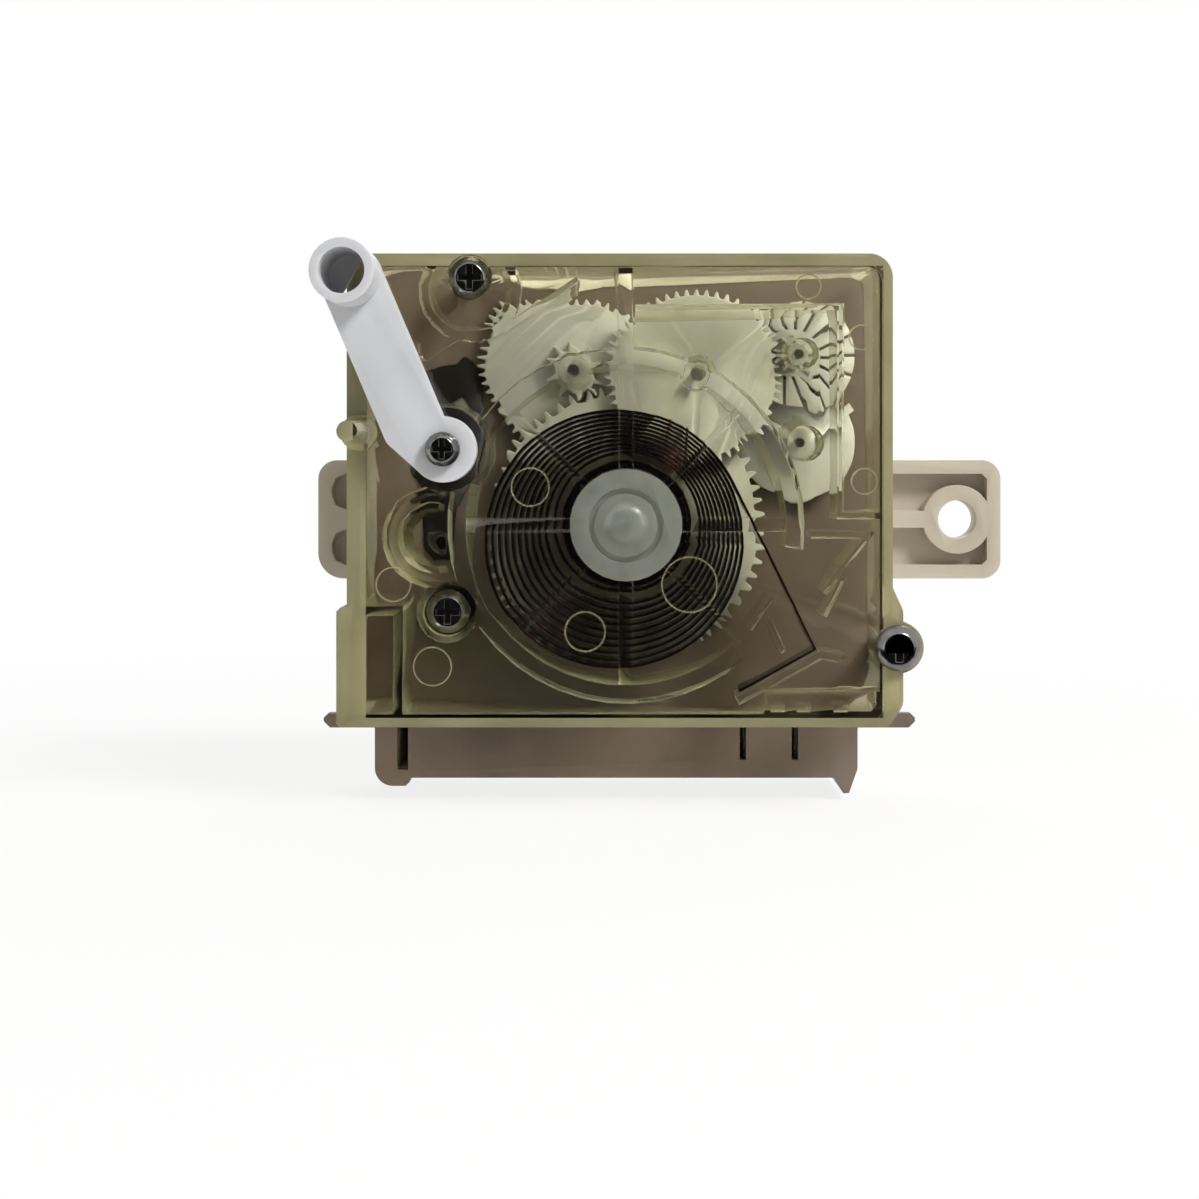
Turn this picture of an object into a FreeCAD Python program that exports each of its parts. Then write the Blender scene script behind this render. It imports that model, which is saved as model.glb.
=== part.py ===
"""A clockwork timer for a washing machine: clear gearbox, switch housing behind it, lever in front.

The origin is on the knob shaft's axis, in the plane of the panel that the timer is fixed to.
X runs to the right, Z up, and heights are measured from the panel towards the viewer, along -Y.
"""

import FreeCAD, Part

import math
import os

from FreeCAD import Placement, Rotation, Vector

# Driving dimensions in millimetres, teeth as counts and angles in degrees.
SIZES = {
    # Depths of the three mouldings, from the panel towards the viewer
    "housing_depth": 16.4,
    "housing_floor": 1.8,
    "housing_wall": 1.8,
    "plate_thickness": 1.6,
    "cover_depth": 14.0,
    "cover_skin": 1.2,
    "cover_wall": 1.3,
    # Outline of the case, measured out from the shaft axis
    "case_left": 29.4,
    "case_right": 28.1,
    "case_top": 28.6,
    "case_bottom": 21.3,
    "case_corner": 2.5,
    "skirt_left": 27.9,
    "skirt_right": 25.9,
    "skirt_bottom": 28.5,
    "column_width": 3.9,
    "column_drop": 0.9,
    "hook_drop": 2.4,
    "lug_reach": 4.2,
    "lug_height": 1.6,
    "side_block_step": 1.1,
    "side_block_top": -8.7,
    "side_block_width": 6.4,
    # Fixing ears in the panel plane
    "ear_right": 44.2,
    "ear_left": 36.0,
    "ear_half_height": 6.95,
    "ear_thickness": 4.0,
    "ear_floor": 1.6,
    "ear_rim": 1.6,
    "ear_corner": 2.2,
    "ear_hole_x": 39.1,
    "ear_hole_radius": 2.25,
    "ear_boss_radius": 4.05,
    # Knob shaft and the hub that winds the spring
    "shaft_length": 14.0,
    "shaft_radius": 3.0,
    "shaft_round_length": 8.0,
    "shaft_flat": 1.9,
    "shaft_tip_radius": 2.5,
    "bearing_radius": 3.2,
    "journal_radius": 1.5,
    "running_gap": 0.05,
    "bush_radius": 5.5,
    "bush_height": 1.8,
    "plate_boss_radius": 4.6,
    "hub_radius": 5.95,
    "hub_flange_radius": 6.6,
    "hub_flange": 0.5,
    "washer_radius": 5.4,
    "washer_thickness": 0.4,
    # Gear train
    "main_module": 0.5,
    "fine_module": 0.35,
    "main_teeth": 60,
    "second_pinion_teeth": 10,
    "second_teeth": 54,
    "third_pinion_teeth": 22,
    "third_teeth": 56,
    "escape_pinion_teeth": 9,
    "second_bearing": 108.95,
    "third_bearing": -2.38,
    "escape_bearing": 10.67,
    "balance_x": 19.0,
    "balance_z": 8.6,
    "wheel_lift": 0.8,
    "wheel_thickness": 1.0,
    "level_step": 1.6,
    "arbor_radius": 0.5,
    "second_arbor_radius": 0.6,
    "third_arbor_radius": 0.75,
    "wheel_hub_radius": 1.7,
    "main_hub_radius": 4.5,
    "main_hub_height": 2.0,
    "escape_radius": 6.5,
    "escape_slits": 18,
    "escape_slit_width": 0.35,
    "escape_slit_start": 2.6,
    "balance_radius": 6.4,
    "balance_thickness": 0.8,
    "pallet_reach": 7.0,
    "pallet_spread": 58.0,
    "pallet_width": 1.0,
    # Mainspring
    "spring_thickness": 0.3,
    "spring_start_gap": 0.2,
    "spring_width": 5.0,
    "spring_turns": 12,
    "spring_outer_radius": 14.0,
    "spring_offset_x": -1.2,
    "spring_offset_z": -1.8,
    "spring_bend_x": 20.1,
    "spring_bend_z": -13.2,
    "spring_tail": 9.35,
    "spring_tail_turn": 208.7,
    # Walls and ribs inside the clear cover
    "rib_clearance": 1.0,
    "rib_thickness": 0.7,
    "barrel_inner": 17.0,
    "barrel_outer": 18.9,
    "barrel_start": -8.0,
    "barrel_end": 312.0,
    "strap_width": 1.5,
    "strap_depth": 0.5,
    "post_radius": 1.6,
    "post_floor": 0.3,
    "hub_cap_radius": 5.87,
    "hub_cap_height": 0.9,
    "dome_radius": 2.5,
    "dome_height": 0.6,
    "groove_outer": 3.9,
    "groove_inner": 3.3,
    "groove_depth": 0.5,
    # Screws
    "screw_radius": 1.2,
    "screw_clearance": 0.1,
    "screw_head_height": 1.7,
    "screw_seat": 8.0,
    "top_screw_x": -16.5,
    "top_screw_z": 26.1,
    "top_head_radius": 2.2,
    "top_head_sink": 1.6,
    "left_screw_x": -18.85,
    "left_screw_z": -9.2,
    "left_head_radius": 2.28,
    "left_head_sink": 2.5,
    "right_screw_x": 28.6,
    "right_screw_z": -12.9,
    "right_head_radius": 2.4,
    "screw_post_radius": 2.9,
    "lug_radius": 2.75,
    "housing_post_radius": 2.4,
    # Lever on the front, its pivot and its stop
    "pivot_x": -19.05,
    "pivot_z": 7.95,
    "pivot_boss_radius": 4.4,
    "pivot_boss_lift": 0.3,
    "pivot_head_radius": 1.8,
    "pivot_shoulder_radius": 1.5,
    "pivot_thread_radius": 1.0,
    "pivot_thread_length": 7.0,
    "lever_thickness": 2.7,
    "lever_gap": 0.1,
    "lever_eye_radius": 3.45,
    "lever_width": 6.5,
    "tube_x": -28.8,
    "tube_z": 26.0,
    "tube_outer": 3.3,
    "tube_inner": 2.35,
    "tube_length": 9.6,
    "tube_ledge": 0.8,
    "tube_rim": 0.5,
    "peg_x": -28.0,
    "peg_z": 9.7,
    "peg_radius": 1.35,
    "peg_tip_radius": 1.05,
    "peg_height": 12.0,
    "peg_flange_radius": 1.9,
    "peg_flange": 1.5,
    # Steel stay plate and its hollow rivet
    "stay_thickness": 0.4,
    "rivet_x": -21.4,
    "rivet_z": -1.7,
    "rivet_flange_radius": 1.45,
    "rivet_radius": 1.15,
    "rivet_bore": 0.8,
    "rivet_flange": 0.5,
    # Cams and contact leaves in the switch housing
    "program_cam_radius": 12.0,
    "program_cam_low": 4.0,
    "program_cam_thickness": 2.5,
    "program_hub_radius": 5.0,
    "program_hub_height": 4.0,
    "notch_radius": 10.5,
    "notch_half_angle": 16.0,
    "reversing_cam_long": 5.2,
    "reversing_cam_short": 3.8,
    "reversing_cam_low": 9.5,
    "reversing_cam_thickness": 3.0,
    "leaf_thickness": 0.3,
    "leaf_width": 3.0,
    "leaf_foot": 26.5,
    "leaf_slack": 0.1,
    "terminal_block_top": 14.0,
    "terminal_block_rise": 4.7,
    "contact_radius": 0.9,
    "contact_thickness": 0.35,
}

doc = FreeCAD.newDocument("wash_timer")
sheet = doc.addObject("Spreadsheet::Sheet", "Sizes")
parts = []


class Size(float):
    """A number from the sheet that keeps the expression which gives it."""

    def __new__(cls, value, formula):
        made = super().__new__(cls, value)
        made.formula = formula
        return made

    def __add__(self, other):
        return Size(float(self) + float(other), f"({self.formula} + {formula_of(other)})")

    def __radd__(self, other):
        return Size(float(other) + float(self), f"({formula_of(other)} + {self.formula})")

    def __sub__(self, other):
        return Size(float(self) - float(other), f"({self.formula} - {formula_of(other)})")

    def __rsub__(self, other):
        return Size(float(other) - float(self), f"({formula_of(other)} - {self.formula})")

    def __mul__(self, other):
        return Size(float(self) * float(other), f"({self.formula} * {formula_of(other)})")

    def __rmul__(self, other):
        return Size(float(other) * float(self), f"({formula_of(other)} * {self.formula})")

    def __truediv__(self, other):
        return Size(float(self) / float(other), f"({self.formula} / {formula_of(other)})")

    def __neg__(self):
        return Size(-float(self), f"(-1 * {self.formula})")


def formula_of(value):
    """The expression for a number: its own if it came from the sheet, else its digits."""
    return value.formula if isinstance(value, Size) else f"{float(value):.6f}"


def fill_sheet():
    """Write every driving dimension to the sheet and return them by name."""
    named = {}
    for row, (name, value) in enumerate(SIZES.items(), start=1):
        sheet.set(f"A{row}", name.replace("_", " "))
        sheet.set(f"B{row}", str(value))
        sheet.setAlias(f"B{row}", name)
        named[name] = Size(value, f"Sizes.{name}")
    doc.recompute()
    return named


S = fill_sheet()


def bind(thing, path, value):
    """Tie one property to the sheet, or set it where the number is worked out in this file."""
    if isinstance(value, Size):
        thing.setExpression(path, value.formula)
    elif path.startswith("AttachmentOffset.Base."):
        offset = thing.AttachmentOffset
        setattr(offset.Base, path[-1], float(value))
        thing.AttachmentOffset = Placement(offset.Base, offset.Rotation)
    else:
        setattr(thing, path, float(value))


# Outlines in the plane of the panel


def circle(x, z, radius):
    return [Part.Circle(Vector(x, z, 0), Vector(0, 0, 1), float(radius))]


def flats(x, z, radius, sides=12):
    """A regular polygon whose flats touch a circle, for small posts and pins and for their holes."""
    corner = float(radius) / math.cos(math.pi / sides)
    return outline(*[polar(x, z, corner, 360.0 * (i + 0.5) / sides) for i in range(sides)])


def rounded(start, middle, end, radius):
    """A rounded corner: an arc, or for a small radius two flats or one."""
    if radius >= 2.0:
        return [Part.Arc(start, middle, end)]
    if radius >= 1.2:
        return [Part.LineSegment(start, middle), Part.LineSegment(middle, end)]
    return [Part.LineSegment(start, end)]


def outline(*corners):
    """A closed outline through corners (x, z) or (x, z, radius), rounded where a radius is given."""
    points = [Vector(c[0], c[1], 0) for c in corners]
    radii = [float(c[2]) if len(c) > 2 else 0.0 for c in corners]
    entries, exits, arcs = [], [], []
    for i, (corner, radius) in enumerate(zip(points, radii)):
        before = (points[i - 1] - corner).normalize()
        after = (points[(i + 1) % len(points)] - corner).normalize()
        if radius == 0.0:
            entries.append(corner)
            exits.append(corner)
            arcs.append([])
            continue
        half = before.getAngle(after) / 2
        reach = radius / math.tan(half)
        bisector = (before + after).normalize()
        middle = corner + bisector * (radius / math.sin(half) - radius)
        entries.append(corner + before * reach)
        exits.append(corner + after * reach)
        arcs.append(rounded(entries[-1], middle, exits[-1], radius))
    edges = []
    for i, arc in enumerate(arcs):
        edges += arc
        edges.append(Part.LineSegment(exits[i], entries[(i + 1) % len(entries)]))
    return edges


def box_outline(x0, x1, z0, z1, radius=0.0):
    return outline((x0, z0, radius), (x1, z0, radius), (x1, z1, radius), (x0, z1, radius))


def wall_outline(path, thickness):
    """The outline of a wall of even thickness along an open path, with mitred corners."""
    half = float(thickness) / 2
    points = [Vector(x, z, 0) for x, z in path]
    near, far = [], []
    for i, point in enumerate(points):
        ahead = (points[min(i + 1, len(points) - 1)] - points[min(i, len(points) - 2)]).normalize()
        behind = (points[max(i, 1)] - points[max(i - 1, 0)]).normalize()
        normal = Vector(-ahead.y - behind.y, ahead.x + behind.x, 0).normalize()
        mitre = half / normal.dot(Vector(-ahead.y, ahead.x, 0))
        near.append(point + normal * mitre)
        far.append(point - normal * mitre)
    around = near + far[::-1]
    return [Part.LineSegment(a, b) for a, b in zip(around, around[1:] + around[:1])]


def ring_sector(x, z, inner, outer, start, end, step):
    """Part of a ring between two angles in degrees, in flats of about the step."""
    count = max(2, round(float(end - start) / step))
    turns = [float(start) + float(end - start) * i / count for i in range(count + 1)]
    near = [polar(x, z, inner, turn) for turn in turns]
    far = [polar(x, z, outer, turn) for turn in reversed(turns)]
    return outline(*near, *far)


def polar(x, z, distance, degrees):
    turn = math.radians(degrees)
    return float(x + distance * math.cos(turn)), float(z + distance * math.sin(turn))


# Features of a body


def new_body(label):
    body = doc.addObject("PartDesign::Body", label)
    body.Label = label
    parts.append(body)
    return body


def attach(body, thing, level, x=0.0, z=0.0):
    """Put a sketch or primitive on the body's own panel plane, raised to a height."""
    plane = next(f for f in body.Origin.OriginFeatures if f.Role == "XZ_Plane")
    thing.AttachmentSupport = (plane, [""])
    thing.MapMode = "FlatFace"
    bind(thing, "AttachmentOffset.Base.x", x)
    bind(thing, "AttachmentOffset.Base.y", z)
    bind(thing, "AttachmentOffset.Base.z", level)


def new_sketch(body, name, level, loops):
    sketch = body.newObject("Sketcher::SketchObject", name)
    attach(body, sketch, level)
    for loop in loops:
        sketch.addGeometry(loop, False)
    return sketch


def pad(body, name, loops, low, high):
    """Raise outlines from one height to another."""
    feature = body.newObject("PartDesign::Pad", name)
    feature.Profile = new_sketch(body, name + "_sketch", low, loops)
    bind(feature, "Length", high - low)
    doc.recompute()
    return feature


def pocket(body, name, loops, low, high):
    """Cut outlines down from the upper height to the lower one."""
    before = body.Shape.Volume
    feature = body.newObject("PartDesign::Pocket", name)
    feature.Profile = new_sketch(body, name + "_sketch", high, loops)
    bind(feature, "Length", high - low)
    doc.recompute()
    if body.Shape.Volume >= before:
        raise RuntimeError(f"{name} of {body.Label} cut nothing")
    return feature


def cylinder(body, name, x, z, radius, low, high):
    feature = body.newObject("PartDesign::AdditiveCylinder", name)
    attach(body, feature, low, x, z)
    bind(feature, "Radius", radius)
    bind(feature, "Height", high - low)
    doc.recompute()
    return feature


def bore(body, name, x, z, radius, low, high):
    before = body.Shape.Volume
    feature = body.newObject("PartDesign::SubtractiveCylinder", name)
    attach(body, feature, low, x, z)
    bind(feature, "Radius", radius)
    bind(feature, "Height", high - low)
    doc.recompute()
    if body.Shape.Volume >= before:
        raise RuntimeError(f"{name} of {body.Label} cut nothing")
    return feature


def narrowed(body, name, loops, low, high):
    """A solid that runs straight from one outline to another of as many corners."""
    feature = body.newObject("PartDesign::AdditiveLoft", name)
    feature.Profile = new_sketch(body, name + "_foot", low, [loops[0]])
    feature.Sections = [new_sketch(body, name + "_top", high, [loops[1]])]
    feature.Ruled = True
    doc.recompute()
    return feature


def turned(body, name, x, z, level, profile):
    """A solid turned about an axis along the depth, from (radius, height above level) corners."""
    plane = next(f for f in body.Origin.OriginFeatures if f.Role == "XY_Plane")
    sketch = body.newObject("Sketcher::SketchObject", name + "_sketch")
    sketch.AttachmentSupport = (plane, [""])
    sketch.MapMode = "FlatFace"
    sketch.AttachmentOffset = Placement(Vector(x, -level, z), Rotation())
    points = [Vector(radius, -height, 0) for radius, height in profile]
    for a, b in zip(points, points[1:] + points[:1]):
        sketch.addGeometry(Part.LineSegment(a, b), False)
    feature = body.newObject("PartDesign::Revolution", name)
    feature.Profile = sketch
    feature.ReferenceAxis = (sketch, ["V_Axis"])
    feature.Angle = 360.0
    doc.recompute()
    return feature


# Heights from the panel plane

FLOOR = S["housing_floor"]
PLATE = S["housing_depth"]
GEARS = PLATE + S["plate_thickness"]
FRONT = GEARS + S["cover_depth"]
SKIN = FRONT - S["cover_skin"]
LEVEL_C = GEARS + S["wheel_lift"]
LEVEL_B = LEVEL_C + S["level_step"]
LEVEL_A = LEVEL_B + S["level_step"]
TOP_A = LEVEL_A + S["wheel_thickness"]
RIBS = TOP_A + S["rib_clearance"]
SPRING = RIBS + 0.6
INTO_SKIN = SKIN + S["cover_skin"] / 4
MAIN_HUB_TOP = LEVEL_B + S["wheel_thickness"] + S["main_hub_height"]
WASHER_TOP = MAIN_HUB_TOP + S["washer_thickness"]
HUB_TOP = SKIN - 0.5
LEVER = FRONT + S["pivot_boss_lift"] + S["lever_gap"]

# Centres of the arbors, worked out from the teeth

SECOND = polar(
    0, 0, (S["main_teeth"] + S["second_pinion_teeth"]) * S["main_module"] / 2, S["second_bearing"]
)
THIRD = polar(
    *SECOND, (S["second_teeth"] + S["third_pinion_teeth"]) * S["fine_module"] / 2, S["third_bearing"]
)
ESCAPE = polar(
    *THIRD, (S["third_teeth"] + S["escape_pinion_teeth"]) * S["fine_module"] / 2, S["escape_bearing"]
)
BALANCE = (float(S["balance_x"]), float(S["balance_z"]))


# Case


def case_outline(inset=0.0, lugs=False):
    """The outline shared by the housing and the plate: a box with a skirt below it."""
    left = -S["case_left"] + inset
    right = S["case_right"] - inset
    top = S["case_top"] - inset
    shelf = -S["case_bottom"]
    skirt_left = -S["skirt_left"]
    column_right = skirt_left + S["column_width"]
    skirt_right = S["skirt_right"]
    bottom = -S["skirt_bottom"]
    lug_low = shelf - S["lug_height"]
    reach = float(S["lug_reach"])
    corners = [(left, top, S["case_corner"]), (right, top, S["case_corner"])]
    if lugs:
        corners += [(right, shelf), (right + reach, shelf, 0.5), (right + reach, lug_low, 0.7)]
        corners += [(skirt_right, lug_low)]
    else:
        corners += [(right, shelf), (skirt_right, shelf)]
    corners += [
        (skirt_right, bottom + 1.0, 0.9),
        (skirt_right - 1.2, bottom - S["hook_drop"], 0.35),
        (skirt_right - 2.6, bottom),
        (column_right, bottom),
        (column_right, bottom - S["column_drop"], 0.45),
        (skirt_left, bottom - S["column_drop"], 2.0),
    ]
    if lugs:
        corners += [(skirt_left, lug_low), (left - reach, lug_low, 0.7), (left - reach, shelf, 0.5)]
        corners += [(left, shelf)]
    else:
        corners += [(skirt_left, shelf), (left, shelf)]
    return outline(*[tuple(float(v) for v in corner) for corner in corners])


def screw_outlines(radius, sides=("top", "left", "right"), count=12):
    """A many-sided outline on the axis of each case screw."""
    return [flats(S[side + "_screw_x"], S[side + "_screw_z"], radius, count) for side in sides]


def wire_outlet():
    """The long slot beside the skirt's column."""
    column = -S["skirt_left"] + 2.5
    return box_outline(column, column + 1.2, -S["skirt_bottom"] + 0.9, -S["case_bottom"] - 0.5)


def make_rear_housing():
    """The switch housing: an open box against the panel, with an ear each side and a skirt below."""
    body = new_body("rear_housing")
    pad(body, "walls", [case_outline()], 0 * FLOOR, PLATE)
    wall = S["housing_wall"]
    inner_left, inner_right = -S["case_left"] + wall, S["case_right"] - wall
    shelf, inner_top = -S["case_bottom"] + wall, S["case_top"] - wall
    skirt_left = -S["skirt_left"] + S["column_width"] + wall
    skirt_right, skirt_low = S["skirt_right"] - wall, -S["skirt_bottom"] + wall
    chamber = outline(
        (inner_left, inner_top, 1.0),
        (inner_right, inner_top, 1.0),
        (inner_right, shelf),
        (skirt_right, shelf),
        (skirt_right, skirt_low, 0.6),
        (skirt_left, skirt_low, 0.6),
        (skirt_left, shelf),
        (inner_left, shelf),
    )
    pocket(body, "chamber", [chamber, wire_outlet()], FLOOR, PLATE)
    posts = screw_outlines(S["housing_post_radius"], ("top",))
    posts += screw_outlines(S["screw_post_radius"], ("left",))
    pad(body, "screw_posts", posts, FLOOR - 0.2, PLATE)
    add_right_lug(body, 0 * FLOOR, PLATE)
    boss_top = FLOOR + S["bush_height"]
    bosses = [flats(0, 0, S["bush_radius"], 24), flats(*THIRD, 2.0)]
    pad(body, "bearing_bosses", bosses, FLOOR - 0.2, boss_top)
    add_terminal_block(body)
    add_ears(body)
    bore(body, "shaft_bore", 0.0, 0.0, S["bearing_radius"] + S["running_gap"], 0 * FLOOR, boss_top)
    third_hole = S["third_arbor_radius"] + S["running_gap"]
    pocket(body, "third_bearing", [flats(*THIRD, third_hole)], FLOOR + 0.2, boss_top)
    pocket(body, "screw_threads", screw_outlines(S["screw_radius"]), S["screw_seat"] - 1, PLATE)


def add_right_lug(body, low, high):
    """The round lug of the right screw, outside the wall."""
    cylinder(body, "right_lug", S["right_screw_x"], S["right_screw_z"], S["lug_radius"], low, high)


# Contact leaves: the x of the foot, the x beside the cam and the z of the top
TIMER_LEAVES = {
    "timer_fixed_leaf": (-14.4, -14.4, 9.0),
    "timer_moving_leaf": (-12.45, -12.45, 9.0),
}
REVERSE_LEAVES = {
    "reverse_leaf_a": (7.3, 10.0, 9.5),
    "reverse_moving_leaf": (13.1, 11.8, 18.5),
    "reverse_leaf_b": (18.9, 13.6, 9.5),
}
TIMER_LEAF = S["program_cam_low"] + 0.2
REVERSE_LEAF = S["reversing_cam_low"] + 0.0


def add_terminal_block(body):
    """Blocks across the foot of the chamber, slotted for the feet of the leaves."""
    low = -S["skirt_bottom"] + S["housing_wall"]
    high = low + S["terminal_block_rise"]
    top = S["terminal_block_top"]
    half = float(S["leaf_thickness"] + S["leaf_slack"]) / 2
    groups = [("timer_slots", TIMER_LEAVES, TIMER_LEAF), ("reverse_slots", REVERSE_LEAVES, REVERSE_LEAF)]
    blocks, cuts = [], []
    for name, leaves, level in groups:
        feet = [leaf[0] for leaf in leaves.values()]
        blocks.append(box_outline(min(feet) - 1.6, max(feet) + 1.6, low - 0.1, high))
        slots = [box_outline(foot - half, foot + half, low, high + 0.1) for foot in feet]
        cuts.append((name, slots, level))
    pad(body, "terminal_blocks", blocks, FLOOR - 0.2, top)
    for name, slots, level in cuts:
        pocket(body, name, slots, level, top)


def add_ears(body):
    """A ribbed ear each side: the right one with a screw hole, the left one a plain tongue."""
    half, rim, corner = S["ear_half_height"], S["ear_rim"], S["ear_corner"]
    right_root, left_root = S["case_right"] - 0.5, -S["case_left"] + 0.5
    right_end, left_end = S["ear_right"], -S["ear_left"]
    right = outline(
        (right_root, -half), (right_end, -half, corner), (right_end, half, corner), (right_root, half)
    )
    left = outline(
        (left_root, half), (left_end, half, corner), (left_end, -half, corner + 0.8), (left_root, -half)
    )
    thickness = S["ear_thickness"]
    pad(body, "ears", [right, left], 0 * FLOOR, thickness)
    case_right, case_left = S["case_right"], -S["case_left"]
    recess = box_outline(case_right, right_end - rim, -half + rim, half - rim, 0.6)
    end = left_end + rim
    upper = outline((case_left, 1.2), (case_left, half - rim), (end, half - rim, 1.6), (end, 1.2, 1.6))
    lower = outline((case_left, -1.2), (end, -1.2, 1.6), (end, -half + rim, 1.6), (case_left, -half + rim))
    pocket(body, "ear_recesses", [recess, upper, lower], S["ear_floor"], thickness)
    hole_x = S["ear_hole_x"]
    rib = box_outline(case_right - 0.2, hole_x, -1.0, 1.0)
    pad(body, "ear_rib", [rib], S["ear_floor"] - 0.2, thickness)
    cylinder(body, "ear_ring", hole_x, 0.0, S["ear_boss_radius"], 0 * FLOOR, thickness)
    bore(body, "ear_hole", hole_x, 0.0, S["ear_hole_radius"], 0 * FLOOR, thickness)


def make_mid_plate():
    """The plate between the gears and the switches, with the bearings of the arbors."""
    body = new_body("mid_plate")
    pad(body, "plate", [case_outline(lugs=True)], PLATE, GEARS)
    add_right_lug(body, PLATE, GEARS)
    gap = S["running_gap"]
    tall = [flats(0, 0, S["plate_boss_radius"], 24), flats(*ESCAPE, 1.3)]
    pad(body, "tall_bosses", tall, PLATE, LEVEL_B - gap * 2)
    low = [flats(*centre, 1.3) for centre in (SECOND, THIRD, BALANCE)]
    pad(body, "low_bosses", low, PLATE, LEVEL_C - gap * 2)
    thin = S["arbor_radius"] + gap
    holes = [circle(0, 0, S["bearing_radius"] + gap), flats(*SECOND, S["second_arbor_radius"] + gap)]
    holes += [flats(*THIRD, S["third_arbor_radius"] + gap), flats(*BALANCE, thin), flats(*ESCAPE, thin)]
    holes.append(flats(S["rivet_x"], S["rivet_z"], S["rivet_radius"], 16))
    holes += screw_outlines(S["screw_radius"] + S["screw_clearance"])
    slot_low, slot_high = -S["skirt_bottom"] + 2.0, -S["case_bottom"] - 1.0
    holes += [box_outline(x - 0.35, x + 0.35, slot_low, slot_high) for x in (13.1, 18.9)]
    holes.append(wire_outlet())
    pocket(body, "holes", holes, PLATE, LEVEL_B)


def cover_outline(inset, flare=0.0):
    """The outline of the clear cover: a block steps out at the lower left, a flare at the right lug."""
    left, right = -S["case_left"] + inset, S["case_right"] - inset
    top, bottom = S["case_top"] - inset, -S["case_bottom"] + inset
    step = left - S["side_block_step"]
    corner = max(float(S["case_corner"]) - float(inset), 0.5)
    block_top = S["side_block_top"] - inset
    corners = [(left, top, corner), (right, top, corner)]
    if flare > 0.0:
        lug = S["right_screw_z"]
        corners += [(right, lug + 6.3), (right + flare, lug + 3.9, 1.5)]
        corners += [(right + flare, lug - 6.1, 1.5), (right, lug - 7.7)]
    corners += [(right, bottom, 0.6), (step, bottom, 0.4), (step, block_top, 0.4), (left, block_top)]
    return outline(*corners)


def make_clear_cover():
    """The clear gearbox casing: one deep moulding, open to the plate, ribbed behind its front skin."""
    body = new_body("clear_cover")
    pad(body, "block", [cover_outline(0.0, flare=1.1)], GEARS, FRONT)
    add_right_lug(body, GEARS, FRONT)
    pocket(body, "cavity", [cover_outline(S["cover_wall"])], GEARS, SKIN)
    add_cover_walls(body)
    add_cover_posts(body)
    add_hub_cap(body)
    add_cover_holes(body)


def add_cover_walls(body):
    """Ribs, the barrel round the spring and the straps across the inside of the front."""
    thin, wide = S["rib_thickness"], S["strap_width"]
    right_inside = S["case_right"] - S["cover_wall"] + 0.1
    top_inside = S["case_top"] - S["cover_wall"] + 0.1
    low_inside = -S["case_bottom"] + S["cover_wall"] - 0.1
    inner, outer = S["barrel_inner"], S["barrel_outer"]
    barrel = ring_sector(0, 0, inner, outer, S["barrel_start"], S["barrel_end"], 8.0)
    frame = [(1.0, 23.05), (22.7, 23.05), (22.7, 0.95), (right_inside, 0.95)]
    gusset = [(19.6, -1.1), (25.6, -1.1), (20.9, -7.2)]
    arm = [(-21.6, 17.4), (-17.6, 19.9), (-12.8, 20.7), (-5.0, 26.0)]
    strut = [(23.4, -4.6), (20.9, -9.6)]
    ribs = [barrel, box_outline(-22.9, -22.0, 16.4, 18.9, 0.2)]
    ribs += [wall_outline(path, thin) for path in (frame, gusset, arm, strut)]
    pad(body, "ribs", ribs + tail_guides(), RIBS, INTO_SKIN)
    crown = ring_sector(S["top_screw_x"] + 0.1, S["top_screw_z"] - 1.4, 4.5, 5.5, 142.0, 398.0, 16.0)
    ring_x, ring_z = S["rivet_x"] + 1.0, S["rivet_z"] + 0.4
    rings = [ring_sector(ring_x, ring_z, r, r + 0.7, 80.0, 280.0, 18.0) for r in (3.1, 4.7)]
    top_rib = box_outline(-wide / 2, wide / 2, S["barrel_outer"] - 0.2, top_inside)
    pad(body, "crown_and_rings", [crown, top_rib] + rings, RIBS, INTO_SKIN)
    hub, wall = S["hub_cap_radius"] - 1.0, S["barrel_inner"] + 0.2
    straps = []
    for i in range(4):
        for turn, width in ((90.0 * i, wide), (90.0 * i + 45.0, thin)):
            straps.append(wall_outline([polar(0, 0, hub, turn), polar(0, 0, wall, turn)], width))
    pad(body, "straps", straps, SKIN - S["strap_depth"], INTO_SKIN)
    block = box_outline(14.6, right_inside, low_inside, -17.6)
    pad(body, "window_block", [block], RIBS + 2.0, INTO_SKIN)
    windows = [box_outline(x - 0.75, x + 0.75, -19.7, -18.9) for x in (16.0, 18.7, 22.6)]
    pocket(body, "windows", windows, RIBS + 2.0, FRONT)
    side = -S["case_left"] - S["side_block_step"] + S["side_block_width"]
    rib_z = S["side_block_top"] - 0.4
    wall = [(side, low_inside - 0.1), (side, rib_z), (-S["case_left"] + 0.4, rib_z)]
    pad(body, "side_block", [wall_outline(wall, 1.0)], GEARS, INTO_SKIN)


def tail_guides():
    """Short walls that hold the spring's bent tail."""
    bend = Vector(S["spring_bend_x"], S["spring_bend_z"], 0)
    back = math.radians(S["spring_tail_turn"])
    along = Vector(math.cos(back), math.sin(back), 0)
    below = Vector(-along.y, along.x, 0)
    thick = 0.9
    clear = float(S["spring_thickness"]) / 2 + 0.15 + thick / 2
    start = bend - along * 0.2 + below * clear
    end = bend + along * (float(S["spring_tail"]) + 0.6) + below * clear
    anchor = [(end.x, end.y), (start.x, start.y), (start.x + 2.6, start.y - 0.5)]
    inner = [(15.1, -9.9), (16.7, -13.4)]
    slope = [(13.0, -10.9), (15.2, -7.6)]
    return [wall_outline(anchor, thick), wall_outline(inner, 0.5), wall_outline(slope, 0.8)]


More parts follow.
